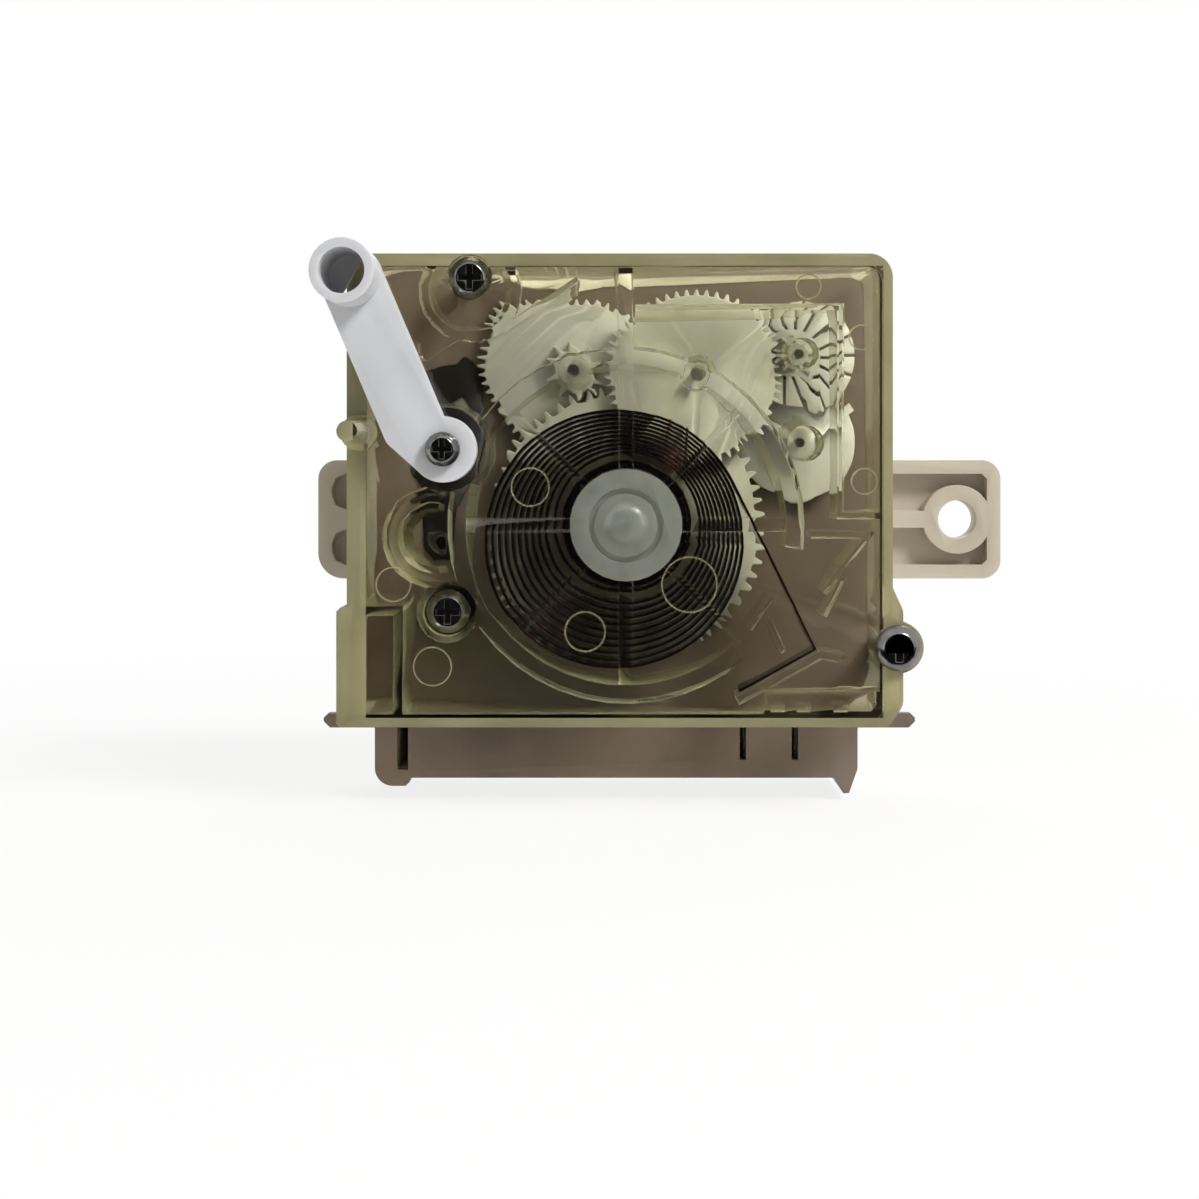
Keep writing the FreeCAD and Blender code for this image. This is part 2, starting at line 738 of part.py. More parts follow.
def add_cover_posts(body):
    """Posts that reach down to the arbors, the screws and the lever's pivot."""
    floor = S["post_floor"]
    post = S["post_radius"]
    low_posts = [flats(*SECOND, post), flats(*BALANCE, post + 0.3, 14)]
    pad(body, "low_posts", low_posts, LEVEL_B + S["wheel_thickness"] + floor + 0.1, INTO_SKIN)
    high_posts = [flats(*THIRD, post + 0.4, 14), flats(*ESCAPE, post)]
    pad(body, "high_posts", high_posts, TOP_A + floor + 0.1, INTO_SKIN)
    posts = screw_outlines(S["screw_post_radius"] - 0.5, ("top",), 16)
    posts += screw_outlines(S["screw_post_radius"] + 0.4, ("left",), 18)
    pad(body, "screw_posts", posts, GEARS, INTO_SKIN)
    lifted = FRONT + S["pivot_boss_lift"]
    boss = flats(S["pivot_x"], S["pivot_z"], S["pivot_boss_radius"], 24)
    pad(body, "pivot_boss", [boss], TOP_A + 0.4, lifted)
    flange, flange_radius, height = float(S["peg_flange"]), S["peg_flange_radius"], float(S["peg_height"])
    root, tip = float(S["peg_radius"]), float(S["peg_tip_radius"])
    profile = [(0, -0.6), (flange_radius, -0.6), (flange_radius, flange), (root, flange)]
    profile += [(tip, height), (0, height)]
    turned(body, "stop_peg", S["peg_x"], S["peg_z"], FRONT, profile)


def add_hub_cap(body):
    """The ringed boss over the end of the shaft, with a domed middle."""
    top = FRONT + S["hub_cap_height"]
    pad(body, "hub_cap", [flats(0, 0, S["hub_cap_radius"], 30)], SKIN + 0.5, top)
    groove = [flats(0, 0, S["groove_outer"], 24), flats(0, 0, S["groove_inner"], 24)]
    pocket(body, "hub_groove", groove, top - S["groove_depth"], top)
    radius, rise = float(S["dome_radius"]), float(S["dome_height"])
    profile = [(0, -0.2), (radius, -0.2), (radius, 0), (radius * 0.6, rise * 0.8), (0, rise)]
    turned(body, "hub_dome", 0.0, 0.0, top, profile)


def add_cover_holes(body):
    """Bearings, screw holes and the sunk seats of the screw heads."""
    gap = S["running_gap"]
    bore(body, "shaft_bearing", 0.0, 0.0, S["journal_radius"] + gap, SKIN - 1.0, FRONT + 0.1)
    low = [flats(*SECOND, S["second_arbor_radius"] + gap), flats(*BALANCE, S["arbor_radius"] + gap)]
    pocket(body, "low_bearings", low, GEARS, LEVEL_B + S["wheel_thickness"] + 2.8)
    pocket(body, "escape_bearing", [flats(*ESCAPE, S["arbor_radius"] + gap)], GEARS, TOP_A + 2.6)
    through = screw_outlines(S["screw_radius"] + S["screw_clearance"])
    through.append(flats(*THIRD, S["third_arbor_radius"] + gap))
    pocket(body, "through_holes", through, GEARS, FRONT + 0.1)
    for side in ("top", "left"):
        low = FRONT - S[side + "_head_sink"]
        seat = screw_outlines(S[side + "_head_radius"] + 0.2, (side,), 20)
        pocket(body, side + "_seat", seat, low, FRONT + 0.1)
    lifted = FRONT + S["pivot_boss_lift"]
    low = lifted - S["pivot_thread_length"] - 0.5
    thread = flats(S["pivot_x"], S["pivot_z"], S["pivot_thread_radius"])
    pocket(body, "pivot_thread", [thread], low, lifted + 0.1)


# Gears


def gear_outline(x, z, teeth, module, facing, gap_faces=False, fine=False):
    """A gear with straight-sided teeth; a tooth, or a gap, faces the given bearing in degrees."""
    pitch_radius = float(teeth) * float(module) / 2
    root, tip = pitch_radius - 1.15 * float(module), pitch_radius + 0.85 * float(module)
    step = 360.0 / float(teeth)
    shape = [(root, -0.28), (tip, -0.09), (tip, 0.09), (root, 0.28)]
    if fine:
        shape = [(root, -0.25), (tip, -0.07), (tip, 0.07), (root, 0.25)]
    first = facing + (step / 2 if gap_faces else 0.0)
    corners = []
    for tooth in range(int(teeth)):
        for radius, share in shape:
            corners.append(polar(x, z, radius, first + (tooth + share) * step))
    return outline(*corners)


def make_main_wheel():
    """The great wheel, on the shaft behind the spring."""
    body = new_body("main_wheel")
    teeth = gear_outline(0, 0, S["main_teeth"], S["main_module"], float(S["second_bearing"]))
    pad(body, "toothed_disc", [teeth], LEVEL_B, LEVEL_B + S["wheel_thickness"])
    pad(body, "hub", [flats(0, 0, S["main_hub_radius"], 24)], LEVEL_B, MAIN_HUB_TOP)
    bore(body, "shaft_bore", 0.0, 0.0, S["bearing_radius"], LEVEL_B, MAIN_HUB_TOP)


def make_second_wheel():
    """Second wheel and pinion in one moulding."""
    body = new_body("second_wheel")
    wheel = gear_outline(*SECOND, S["second_teeth"], S["fine_module"], float(S["third_bearing"]))
    top = LEVEL_C + S["wheel_thickness"]
    pad(body, "toothed_disc", [wheel], LEVEL_C, top)
    away = float(S["second_bearing"]) + 180.0
    pinion = gear_outline(*SECOND, S["second_pinion_teeth"], S["main_module"], away, True, True)
    pad(body, "pinion", [pinion], top - 0.1, LEVEL_B + S["wheel_thickness"] + 0.1)
    pocket(body, "arbor_bore", [flats(*SECOND, S["second_arbor_radius"])], LEVEL_C, LEVEL_A)


def make_third_wheel():
    """Third wheel and pinion in one moulding, joined by a long hub."""
    body = new_body("third_wheel")
    away = float(S["third_bearing"]) + 180.0
    pinion = gear_outline(*THIRD, S["third_pinion_teeth"], S["fine_module"], away, True, True)
    low = LEVEL_C - S["running_gap"]
    pad(body, "pinion", [pinion], low, LEVEL_C + S["wheel_thickness"] + 0.1)
    pad(body, "hub", [flats(*THIRD, S["wheel_hub_radius"], 16)], LEVEL_C, TOP_A)
    wheel = gear_outline(*THIRD, S["third_teeth"], S["fine_module"], float(S["escape_bearing"]))
    pad(body, "toothed_disc", [wheel], LEVEL_A, TOP_A)
    pocket(body, "arbor_bore", [flats(*THIRD, S["third_arbor_radius"])], GEARS, TOP_A)


def make_escape_wheel():
    """Escape wheel: a thin disc slit into blades, with its pinion above it."""
    body = new_body("escape_wheel")
    top = LEVEL_B + 0.8
    cylinder(body, "disc", *ESCAPE, S["escape_radius"], LEVEL_B, top)
    half = float(S["escape_slit_width"]) / 2
    x, z = ESCAPE
    slit = box_outline(x + S["escape_slit_start"], x + S["escape_radius"] + 0.2, z - half, z + half)
    pocket(body, "slit", [slit], LEVEL_B, top)
    add_slit_pattern(body, "slit")
    away = float(S["escape_bearing"]) + 180.0
    pinion = gear_outline(x, z, S["escape_pinion_teeth"], S["fine_module"], away, True, True)
    pad(body, "pinion", [pinion], top - 0.1, TOP_A + 0.1)
    pocket(body, "arbor_bore", [flats(x, z, S["arbor_radius"])], LEVEL_B, TOP_A + 0.1)


def add_slit_pattern(body, name):
    """Repeat one slit round the escape arbor."""
    axis_sketch = body.newObject("Sketcher::SketchObject", "escape_axis")
    attach(body, axis_sketch, LEVEL_B, *ESCAPE)
    pattern = body.newObject("PartDesign::PolarPattern", "slits")
    pattern.Originals = [doc.getObject(name) or next(f for f in body.Group if f.Label == name)]
    pattern.Axis = (axis_sketch, ["N_Axis"])
    pattern.Angle = 360.0
    pattern.Occurrences = int(S["escape_slits"])
    body.Tip = pattern
    doc.recompute()


def make_balance():
    """Balance disc and, above it, the pallet fork that lets the escape wheel go tooth by tooth."""
    disc = new_body("balance_wheel")
    top = LEVEL_C + S["balance_thickness"]
    pad(disc, "disc", [flats(*BALANCE, S["balance_radius"], 36)], LEVEL_C, top)
    pad(disc, "hub", [flats(*BALANCE, 1.5)], LEVEL_C, LEVEL_B)
    staff = [flats(*BALANCE, S["arbor_radius"])]
    pocket(disc, "staff_bore", staff, LEVEL_C, LEVEL_B)
    fork = new_body("pallet_fork")
    towards = math.degrees(math.atan2(ESCAPE[1] - BALANCE[1], ESCAPE[0] - BALANCE[0]))
    spread, reach = float(S["pallet_spread"]), float(S["pallet_reach"])
    right, left = polar(*BALANCE, reach, towards - spread), polar(*BALANCE, reach, towards + spread)
    arms = wall_outline([left, BALANCE, right], S["pallet_width"])
    pad(fork, "arms", [arms], LEVEL_B, LEVEL_B + S["wheel_thickness"])
    high = LEVEL_B + S["wheel_thickness"] + 0.1
    pad(fork, "hub", [flats(*BALANCE, 1.7)], LEVEL_B, high)
    pocket(fork, "staff_bore", staff, LEVEL_B, high)


def make_arbors():
    """Steel arbors and the balance staff, each turning in the plate and in a post of the cover."""
    low = PLATE + 0.4
    second_top = LEVEL_B + S["wheel_thickness"] + 2.5
    rods = (
        ("second_arbor", SECOND, S["second_arbor_radius"], low, second_top),
        ("third_arbor", THIRD, S["third_arbor_radius"], FLOOR + 0.3, TOP_A + 2.8),
        ("escape_arbor", ESCAPE, S["arbor_radius"], low, TOP_A + 2.3),
        ("balance_staff", BALANCE, S["arbor_radius"], low, second_top),
    )
    for label, centre, radius, bottom, top in rods:
        cylinder(new_body(label), "rod", *centre, radius, bottom, top)


# Winding shaft and spring


def make_main_shaft():
    """The knob shaft: a D at the knob end, a bearing length through the case and a small journal."""
    body = new_body("main_shaft")
    length, round_length = S["shaft_length"], S["shaft_round_length"]
    cylinder(body, "knob_end", 0.0, 0.0, S["shaft_radius"], -round_length, 0 * FLOOR)
    cylinder(body, "d_end", 0.0, 0.0, S["shaft_tip_radius"], -length, -round_length)
    cylinder(body, "bearing_length", 0.0, 0.0, S["bearing_radius"], 0 * FLOOR, HUB_TOP)
    cylinder(body, "journal", 0.0, 0.0, S["journal_radius"], HUB_TOP, FRONT - 0.2)
    flat, radius = S["shaft_flat"], S["shaft_tip_radius"]
    side = box_outline(flat, radius + 1.0, -radius - 1.0, radius + 1.0)
    pocket(body, "flat", [side], -length, -round_length)


def make_spring_hub():
    """The drum that the spring's inner end is wound on, on a friction washer."""
    washer = new_body("clutch_washer")
    pad(washer, "disc", [flats(0, 0, S["washer_radius"], 24)], MAIN_HUB_TOP, WASHER_TOP)
    bore(washer, "shaft_bore", 0.0, 0.0, S["bearing_radius"], MAIN_HUB_TOP, WASHER_TOP)
    body = new_body("spring_hub")
    flange_top = WASHER_TOP + S["hub_flange"]
    pad(body, "flange", [flats(0, 0, S["hub_flange_radius"], 30)], WASHER_TOP, flange_top)
    pad(body, "drum", [flats(0, 0, S["hub_radius"], 30)], WASHER_TOP, HUB_TOP)
    bore(body, "shaft_bore", 0.0, 0.0, S["bearing_radius"], WASHER_TOP, HUB_TOP)


def spring_radius(turn):
    """Mean radius of the strip after so many turns: close on the hub, then evenly out."""
    start = float(S["hub_radius"] + S["spring_thickness"] / 2 + S["spring_start_gap"])
    last, outer = float(S["spring_turns"]), float(S["spring_outer_radius"])
    if turn <= 1:
        return start + 0.45 * turn
    if turn <= 2:
        ease = (turn - 1) * (turn - 1) * (3 - 2 * (turn - 1))
        return start + 0.45 + (1.2 - 0.2 * (2 - turn)) * ease
    return start + 1.65 + (outer - start - 1.65) * (turn - 2) / (last - 2)


def make_mainspring():
    """The clock spring: a flat strip coiled off centre, with a straight tail bent back at its anchor."""
    turns, outer = float(S["spring_turns"]), float(S["spring_outer_radius"])
    offset = Vector(S["spring_offset_x"], S["spring_offset_z"], 0)
    bend = Vector(S["spring_bend_x"], S["spring_bend_z"], 0)
    to_bend = bend - offset
    leave = math.atan2(to_bend.y, to_bend.x) + math.acos(outer / to_bend.Length)
    per_turn = 18
    total = int(turns) * per_turn
    path = []
    for i in range(total + 1):
        turn = turns * i / total
        shift = min(max((turn - 1) / (turns - 1), 0.0), 1.0)
        angle = leave + 2 * math.pi * (turns - turn)
        middle = offset * shift
        radius = spring_radius(turn)
        path.append((middle.x + radius * math.cos(angle), middle.y + radius * math.sin(angle)))
    back = math.radians(S["spring_tail_turn"])
    tail = (bend.x + S["spring_tail"] * math.cos(back), bend.y + S["spring_tail"] * math.sin(back))
    edges = wall_outline(path + [(bend.x, bend.y), tail], S["spring_thickness"])
    wire = Part.Wire([edge.toShape() for edge in edges])
    strip = Part.Face(wire).extrude(Vector(0, 0, S["spring_width"]))
    spring = doc.addObject("Part::Feature", "mainspring")
    spring.Label = "mainspring"
    spring.Shape = strip
    spring.Placement = Placement(Vector(0, -SPRING, 0), Rotation(Vector(1, 0, 0), 90))
    parts.append(spring)


# Cams and contacts


def make_program_cam():
    """The cam on the shaft, with the notch that opens the timer contact at zero."""
    body = new_body("program_cam")
    low = S["program_cam_low"]
    high = low + S["program_cam_thickness"]
    pad(body, "disc", [flats(0, 0, S["program_cam_radius"], 36)], low, high)
    half, reach = S["notch_half_angle"], S["program_cam_radius"] + 1.0
    notch = ring_sector(0, 0, S["notch_radius"], reach, 180 - half, 180 + half, 8.0)
    pocket(body, "zero_notch", [notch], low, high)
    top = low + S["program_hub_height"]
    pad(body, "hub", [flats(0, 0, S["program_hub_radius"], 20)], low, top)
    bore(body, "shaft_bore", 0.0, 0.0, S["bearing_radius"], low, top)


def make_reversing_cam():
    """The two-lobed cam that swaps the motor's direction as the third arbor turns."""
    body = new_body("reversing_cam")
    low = S["reversing_cam_low"]
    high = low + S["reversing_cam_thickness"]
    x, z = THIRD
    lobes = []
    for i in range(28):
        turn = 2 * math.pi * i / 28
        across, along = S["reversing_cam_short"] * math.cos(turn), S["reversing_cam_long"] * math.sin(turn)
        lobes.append((float(x + across), float(z + along)))
    pad(body, "lobes", [outline(*lobes)], low, high)
    pad(body, "hub", [flats(x, z, 2.4)], low, high + 1.0)
    pocket(body, "arbor_bore", [flats(x, z, S["third_arbor_radius"])], low, high + 1.0)


def make_leaves():
    """Contact leaves, from their feet in the terminal block up past the cams."""
    for leaves, low in ((TIMER_LEAVES, TIMER_LEAF), (REVERSE_LEAVES, REVERSE_LEAF)):
        for name, (foot, upper, top) in leaves.items():
            path = [(foot, -float(S["leaf_foot"]))]
            if foot != upper:
                path += [(foot, -17.0), (upper, -11.0)]
            if name == "timer_moving_leaf":
                reach = -float(S["notch_radius"]) - 0.2 - float(S["leaf_thickness"]) / 2
                path += [(upper, -3.0), (reach, 0.0), (upper, 3.0)]
            path.append((upper, top))
            body = new_body(name)
            pad(body, "strip", [wall_outline(path, S["leaf_thickness"])], low, low + S["leaf_width"])


def add_contact(body, name, face_x, side, level, z):
    """One contact point on the face of a leaf; side is +1 to the right and -1 to the left."""
    sketch = body.newObject("Sketcher::SketchObject", name + "_sketch")
    plane = next(f for f in body.Origin.OriginFeatures if f.Role == "YZ_Plane")
    sketch.AttachmentSupport = (plane, [""])
    sketch.MapMode = "FlatFace"
    start = face_x if side > 0 else face_x - S["contact_thickness"]
    sketch.AttachmentOffset = Placement(Vector(-level, z, start), Rotation())
    sketch.addGeometry(flats(0, 0, S["contact_radius"]), False)
    feature = body.newObject("PartDesign::Pad", name)
    feature.Profile = sketch
    bind(feature, "Length", S["contact_thickness"])
    doc.recompute()


def make_contacts():
    """Silver contact points on the facing sides of the leaves."""
    half = float(S["leaf_thickness"]) / 2
    pairs = {
        "timer_contact": (("timer_moving_leaf", -1), ("timer_fixed_leaf", 1)),
        "reverse_contact_a": (("reverse_moving_leaf", -1), ("reverse_leaf_a", 1)),
        "reverse_contact_b": (("reverse_moving_leaf", 1), ("reverse_leaf_b", -1)),
    }
    leaves = {**TIMER_LEAVES, **REVERSE_LEAVES}
    for label, points in pairs.items():
        for which, (leaf, side) in zip(("moving", "fixed"), points):
            upper = leaves[leaf][1]
            low = TIMER_LEAF if leaf in TIMER_LEAVES else REVERSE_LEAF
            level = float(low + S["leaf_width"] / 2)
            body = new_body(f"{label}_{which}")
            add_contact(body, "point", upper + side * half, side, level, 7.6)


# Lever, screws and rivet


def make_lever():
    """The lever: an eye on the pivot, a straight arm and an open tube at its end."""
    body = new_body("lever")
    x, z = float(S["pivot_x"]), float(S["pivot_z"])
    tube_x, tube_z = float(S["tube_x"]), float(S["tube_z"])
    along = (Vector(-25.3, 8.5, 0) - Vector(-31.65, 23.4, 0)).normalize()
    across = Vector(-along.y, along.x, 0)
    half = float(S["lever_width"]) / 2
    tube = Vector(tube_x, tube_z, 0)
    right_top, left_top = tube + across * half, tube - across * half
    elbow = left_top + along * ((8.6 - left_top.y) / along.y)
    right_low = right_top + along * ((z + 2.4 - right_top.y) / along.y)
    arm = outline(
        (left_top.x, left_top.y),
        (elbow.x, elbow.y, 1.0),
        (x - 1.9, z - 2.9),
        (x + 0.5, z),
        (right_low.x, right_low.y),
        (right_top.x, right_top.y),
    )
    top = LEVER + S["lever_thickness"]
    pad(body, "arm", [arm], LEVER, top)
    cylinder(body, "eye", x, z, S["lever_eye_radius"], LEVER, top)
    cylinder(body, "tube", tube_x, tube_z, S["tube_outer"], LEVER, LEVER + S["tube_length"])
    ledge = LEVER + S["tube_ledge"]
    bore(body, "socket", tube_x, tube_z, S["tube_inner"], ledge, LEVER + S["tube_length"])
    add_ledge_opening(body, tube, ledge)
    hole = flats(x, z, S["pivot_shoulder_radius"] + S["running_gap"], 16)
    pocket(body, "pivot_hole", [hole], LEVER, top)


def add_ledge_opening(body, tube, ledge):
    """Cut away the lower right half of the tube's floor, so that the rod still has a ledge all round."""
    radius = float(S["tube_inner"]) - float(S["tube_rim"])
    start = Vector(*polar(tube.x, tube.y, radius, 242.0), 0)
    end = Vector(*polar(tube.x, tube.y, radius, 60.0), 0)
    far = Vector(*polar(tube.x, tube.y, radius, 331.0), 0)
    loop = [Part.Arc(start, far, end), Part.LineSegment(end, start)]
    pocket(body, "floor_opening", [loop], LEVER, ledge)


def make_screw(label, x, z, head_radius, seat, tip, shoulder=None):
    """A pan-head screw with a cross recess; a shoulder is (radius, length) under the head."""
    body = new_body(label)
    head, height = float(head_radius), float(S["screw_head_height"])
    shank = float(S["screw_radius"]) if shoulder is None else float(S["pivot_thread_radius"])
    length = float(seat - tip)
    waist = seat + height * 0.5
    pad(body, "head", [flats(x, z, head, 20)], seat, waist)
    crown = (flats(x, z, head, 20), flats(x, z, head * 0.66, 20))
    narrowed(body, "head_crown", crown, waist, seat + height)
    pad(body, "shank", [flats(x, z, shank)], seat - length, seat + 0.1)
    if shoulder is not None:
        radius, reach = shoulder
        pad(body, "shoulder", [flats(x, z, radius, 16)], seat - reach, seat + 0.1)
    arm, width = head * 0.56, head * 0.14
    low, high = seat + height * 0.4, seat + height + 0.1
    cross = [(arm, width), (width, width), (width, arm), (-width, arm), (-width, width), (-arm, width)]
    cross += [(-a, -b) for a, b in cross]
    pocket(body, "cross_recess", [outline(*[(x + a, z + b) for a, b in cross])], low, high)


def make_screws():
    tip = S["screw_seat"]
    seats = {"top": FRONT - S["top_head_sink"], "left": FRONT - S["left_head_sink"], "right": FRONT}
    for side, seat in seats.items():
        x, z, head = S[side + "_screw_x"], S[side + "_screw_z"], S[side + "_head_radius"]
        make_screw("cover_screw_" + side, x, z, head, seat, tip)
    seat = LEVER + S["lever_thickness"] + S["lever_gap"]
    boss_top = FRONT + S["pivot_boss_lift"]
    shoulder = (S["pivot_shoulder_radius"], seat - boss_top)
    end = boss_top - S["pivot_thread_length"]
    make_screw("lever_screw", S["pivot_x"], S["pivot_z"], S["pivot_head_radius"], seat, end, shoulder)


def make_stay():
    """The black steel stay that lies on the plate, and the hollow rivet that holds it."""
    body = new_body("stay_plate")
    high = GEARS + S["stay_thickness"]
    x, z = float(S["rivet_x"]), float(S["rivet_z"])
    shape = outline(
        (x - 2.2, z - 2.0, 1.0),
        (x + 2.4, z - 2.0, 1.0),
        (x + 2.6, z + 4.0),
        (-16.4, 9.0),
        (-14.4, 17.4, 1.0),
        (-22.6, 16.2, 1.0),
        (-21.8, 9.4),
        (x - 1.8, z + 4.0),
    )
    pad(body, "blank", [shape], GEARS, high)
    pocket(body, "rivet_hole", [flats(x, z, S["rivet_radius"], 16)], GEARS, high)
    rivet = new_body("hollow_rivet")
    low_end, high_end = PLATE - S["rivet_flange"], high + S["rivet_flange"]
    pad(rivet, "tube", [flats(x, z, S["rivet_radius"], 16)], low_end, high_end)
    rim = [flats(x, z, S["rivet_flange_radius"], 16)]
    pad(rivet, "low_flange", rim, low_end, PLATE)
    pad(rivet, "high_flange", rim, high, high_end)
    pocket(rivet, "hollow", [flats(x, z, S["rivet_bore"], 12)], low_end, high_end)


def check_and_write():
    """Stop on any failed object, then write each piece to its own file."""
    doc.recompute()
    for thing in doc.Objects:
        if "Invalid" in thing.State or "Error" in thing.State:
            raise RuntimeError(f"{thing.Label} failed: {thing.State}")
    os.makedirs("parts", exist_ok=True)
    for piece in parts:
        if piece.Shape.isNull() or not piece.Shape.isValid():
            raise RuntimeError(f"{piece.Label} has no valid shape")
        if len(piece.Shape.Solids) != 1:
            raise RuntimeError(f"{piece.Label} has {len(piece.Shape.Solids)} solids")
        piece.Shape.exportStep(os.path.join("parts", piece.Label + ".step"))
        print(f"{piece.Label}: {piece.Shape.Volume:.1f} mm3")


make_rear_housing()
make_mid_plate()
make_clear_cover()
make_main_shaft()
make_spring_hub()
make_mainspring()
make_main_wheel()
make_second_wheel()
make_third_wheel()
make_escape_wheel()
make_balance()
make_arbors()
make_program_cam()
make_reversing_cam()
make_leaves()
make_contacts()
make_lever()
make_screws()
make_stay()
check_and_write()
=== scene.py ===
"""A clockwork wash timer: clear gearbox, coiled mainspring and gears in front of a cream switch housing."""

import logging
import math
from dataclasses import dataclass, field
from enum import Enum

import bmesh
import bpy
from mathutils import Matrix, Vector


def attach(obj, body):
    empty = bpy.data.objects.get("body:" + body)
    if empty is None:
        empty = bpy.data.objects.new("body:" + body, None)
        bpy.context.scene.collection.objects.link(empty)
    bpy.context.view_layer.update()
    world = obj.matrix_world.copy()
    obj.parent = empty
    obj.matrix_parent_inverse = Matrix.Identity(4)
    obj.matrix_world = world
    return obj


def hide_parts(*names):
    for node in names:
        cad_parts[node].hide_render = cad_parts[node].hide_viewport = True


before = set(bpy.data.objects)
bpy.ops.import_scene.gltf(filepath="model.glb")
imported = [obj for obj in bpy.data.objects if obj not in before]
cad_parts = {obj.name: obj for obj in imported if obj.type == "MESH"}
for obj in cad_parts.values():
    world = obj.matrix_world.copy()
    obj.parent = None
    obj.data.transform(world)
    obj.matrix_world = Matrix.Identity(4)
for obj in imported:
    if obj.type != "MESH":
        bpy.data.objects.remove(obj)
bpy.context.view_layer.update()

LOG = logging.getLogger("wash_timer")
MM = 0.001
# The front of the clear casing
FRONT_Y = -32.0 * MM
# The part of a noise pattern's range over which colour and gloss change
PATCH_SPAN = (0.3, 0.7)
# Depth of the fine grain of a moulded or ground surface, in mm
GRAIN_DEPTH = 0.1
# Share of red, green and blue light that travels on inside a milky plastic
MILKY_SPREAD = (1.0, 0.9, 0.75)
# Faces whose normal has less of the depth axis than this run along the depth
DEPTH_SHARE = 0.7


class Body(Enum):
    """The bodies of the timer that move as one."""

    CASE = "case"
    SHAFT = "main_shaft"
    SECOND = "second"
    THIRD = "third"
    ESCAPE = "escape"
    BALANCE = "balance"
    LEVER = "lever"


def linear(code: str, alpha: float = 1.0) -> tuple[float, float, float, float]:
    """Turn an sRGB hex colour into the linear values that shaders take.

    Args:
        code: The colour as "#rrggbb".
        alpha: Opacity to append.

    Returns:
        Red, green, blue and alpha as numbers from 0 to 1.
    """
    parts = [int(code[i : i + 2], 16) / 255.0 for i in (1, 3, 5)]
    red, green, blue = (p / 12.92 if p <= 0.04045 else ((p + 0.055) / 1.055) ** 2.4 for p in parts)
    return red, green, blue, alpha


def add_node(
    tree: bpy.types.NodeTree,
    kind: str,
    settings: dict[str | int, object] | None = None,
    links: dict[str | int, bpy.types.NodeSocket] | None = None,
) -> bpy.types.Node:
    """Add a node with its settings and the sockets that feed it.

    Args:
        tree: The node tree to add to.
        kind: The node's type name.
        settings: Values for inputs, by name or number, or for the node's own properties.
        links: The output socket that feeds each input, by the input's name or number.

    Returns:
        The new node.
    """
    node = tree.nodes.new(kind)
    for key, value in (settings or {}).items():
        if isinstance(key, int) or key in node.inputs:
            node.inputs[key].default_value = value
        else:
            setattr(node, key, value)
    for key, source in (links or {}).items():
        tree.links.new(source, node.inputs[key])
    return node


@dataclass(frozen=True)
class Finish:
    """A surface: its colour, shine and the fine unevenness of how it was made."""

    name: str
    colour: str
    second_colour: str
    patch_mm: float
    roughness: float
    roughness_spread: float
    grain_mm: float
    grain_height: float
    ior: float = 1.5
    metallic: float = 0.0
    subsurface: float = 0.0
    subsurface_mm: float = 1.0

    def material(self) -> bpy.types.Material:
        """Build the material once and return it after that.

        Returns:
            The Blender material.
        """
        made = bpy.data.materials.get(self.name)
        if made is not None:
            return made
        made = bpy.data.materials.new(self.name)
        made.use_nodes = True
        tree = made.node_tree
        tree.nodes.clear()
        shader = self.shader(tree)
        output = add_node(tree, "ShaderNodeOutputMaterial", {"target": "ALL"})
        tree.links.new(self.surface(tree, shader), output.inputs["Surface"])
        made.diffuse_color = linear(self.colour)
        return made

    def shader(self, tree: bpy.types.NodeTree) -> bpy.types.Node:
        """Make the main shader with cloudy colour, uneven gloss and a fine grain.

        Args:
            tree: The material's node tree.

        Returns:
            The Principled shader node.
        """
        where = add_node(tree, "ShaderNodeTexCoord").outputs["Object"]
        patch_scale = 1.0 / (self.patch_mm * MM)
        patches = add_node(tree, "ShaderNodeTexNoise", {"Scale": patch_scale, "Detail": 4.0}, {"Vector": where})
        ramp = add_node(tree, "ShaderNodeValToRGB", links={"Fac": patches.outputs["Fac"]})
        for stop, position, colour in zip(ramp.color_ramp.elements, PATCH_SPAN, (self.colour, self.second_colour)):
            stop.position = position
            stop.color = linear(colour)
        gloss = add_node(
            tree,
            "ShaderNodeMapRange",
            {
                "From Min": PATCH_SPAN[0],
                "From Max": PATCH_SPAN[1],
                "To Min": self.roughness - self.roughness_spread,
                "To Max": self.roughness + self.roughness_spread,
            },
            {"Value": patches.outputs["Fac"]},
        )
        grain_scale = 1.0 / (self.grain_mm * MM)
        grain = add_node(tree, "ShaderNodeTexNoise", {"Scale": grain_scale, "Detail": 3.0}, {"Vector": where})
        relief = {"Strength": self.grain_height, "Distance": GRAIN_DEPTH * MM}
        bump = add_node(tree, "ShaderNodeBump", relief, {"Height": grain.outputs["Fac"]})
        return add_node(
            tree,
            "ShaderNodeBsdfPrincipled",
            {
                "IOR": self.ior,
                "Metallic": self.metallic,
                "Subsurface Weight": self.subsurface,
                "Subsurface Radius": MILKY_SPREAD,
                "Subsurface Scale": self.subsurface_mm * MM,
            },
            {
                "Base Color": ramp.outputs["Color"],
                "Roughness": gloss.outputs["Result"],
                "Normal": bump.outputs["Normal"],
            },
        )

    def surface(self, tree: bpy.types.NodeTree, shader: bpy.types.Node) -> bpy.types.NodeSocket:
        """Return the socket that goes to the output's surface."""
        return shader.outputs["BSDF"]


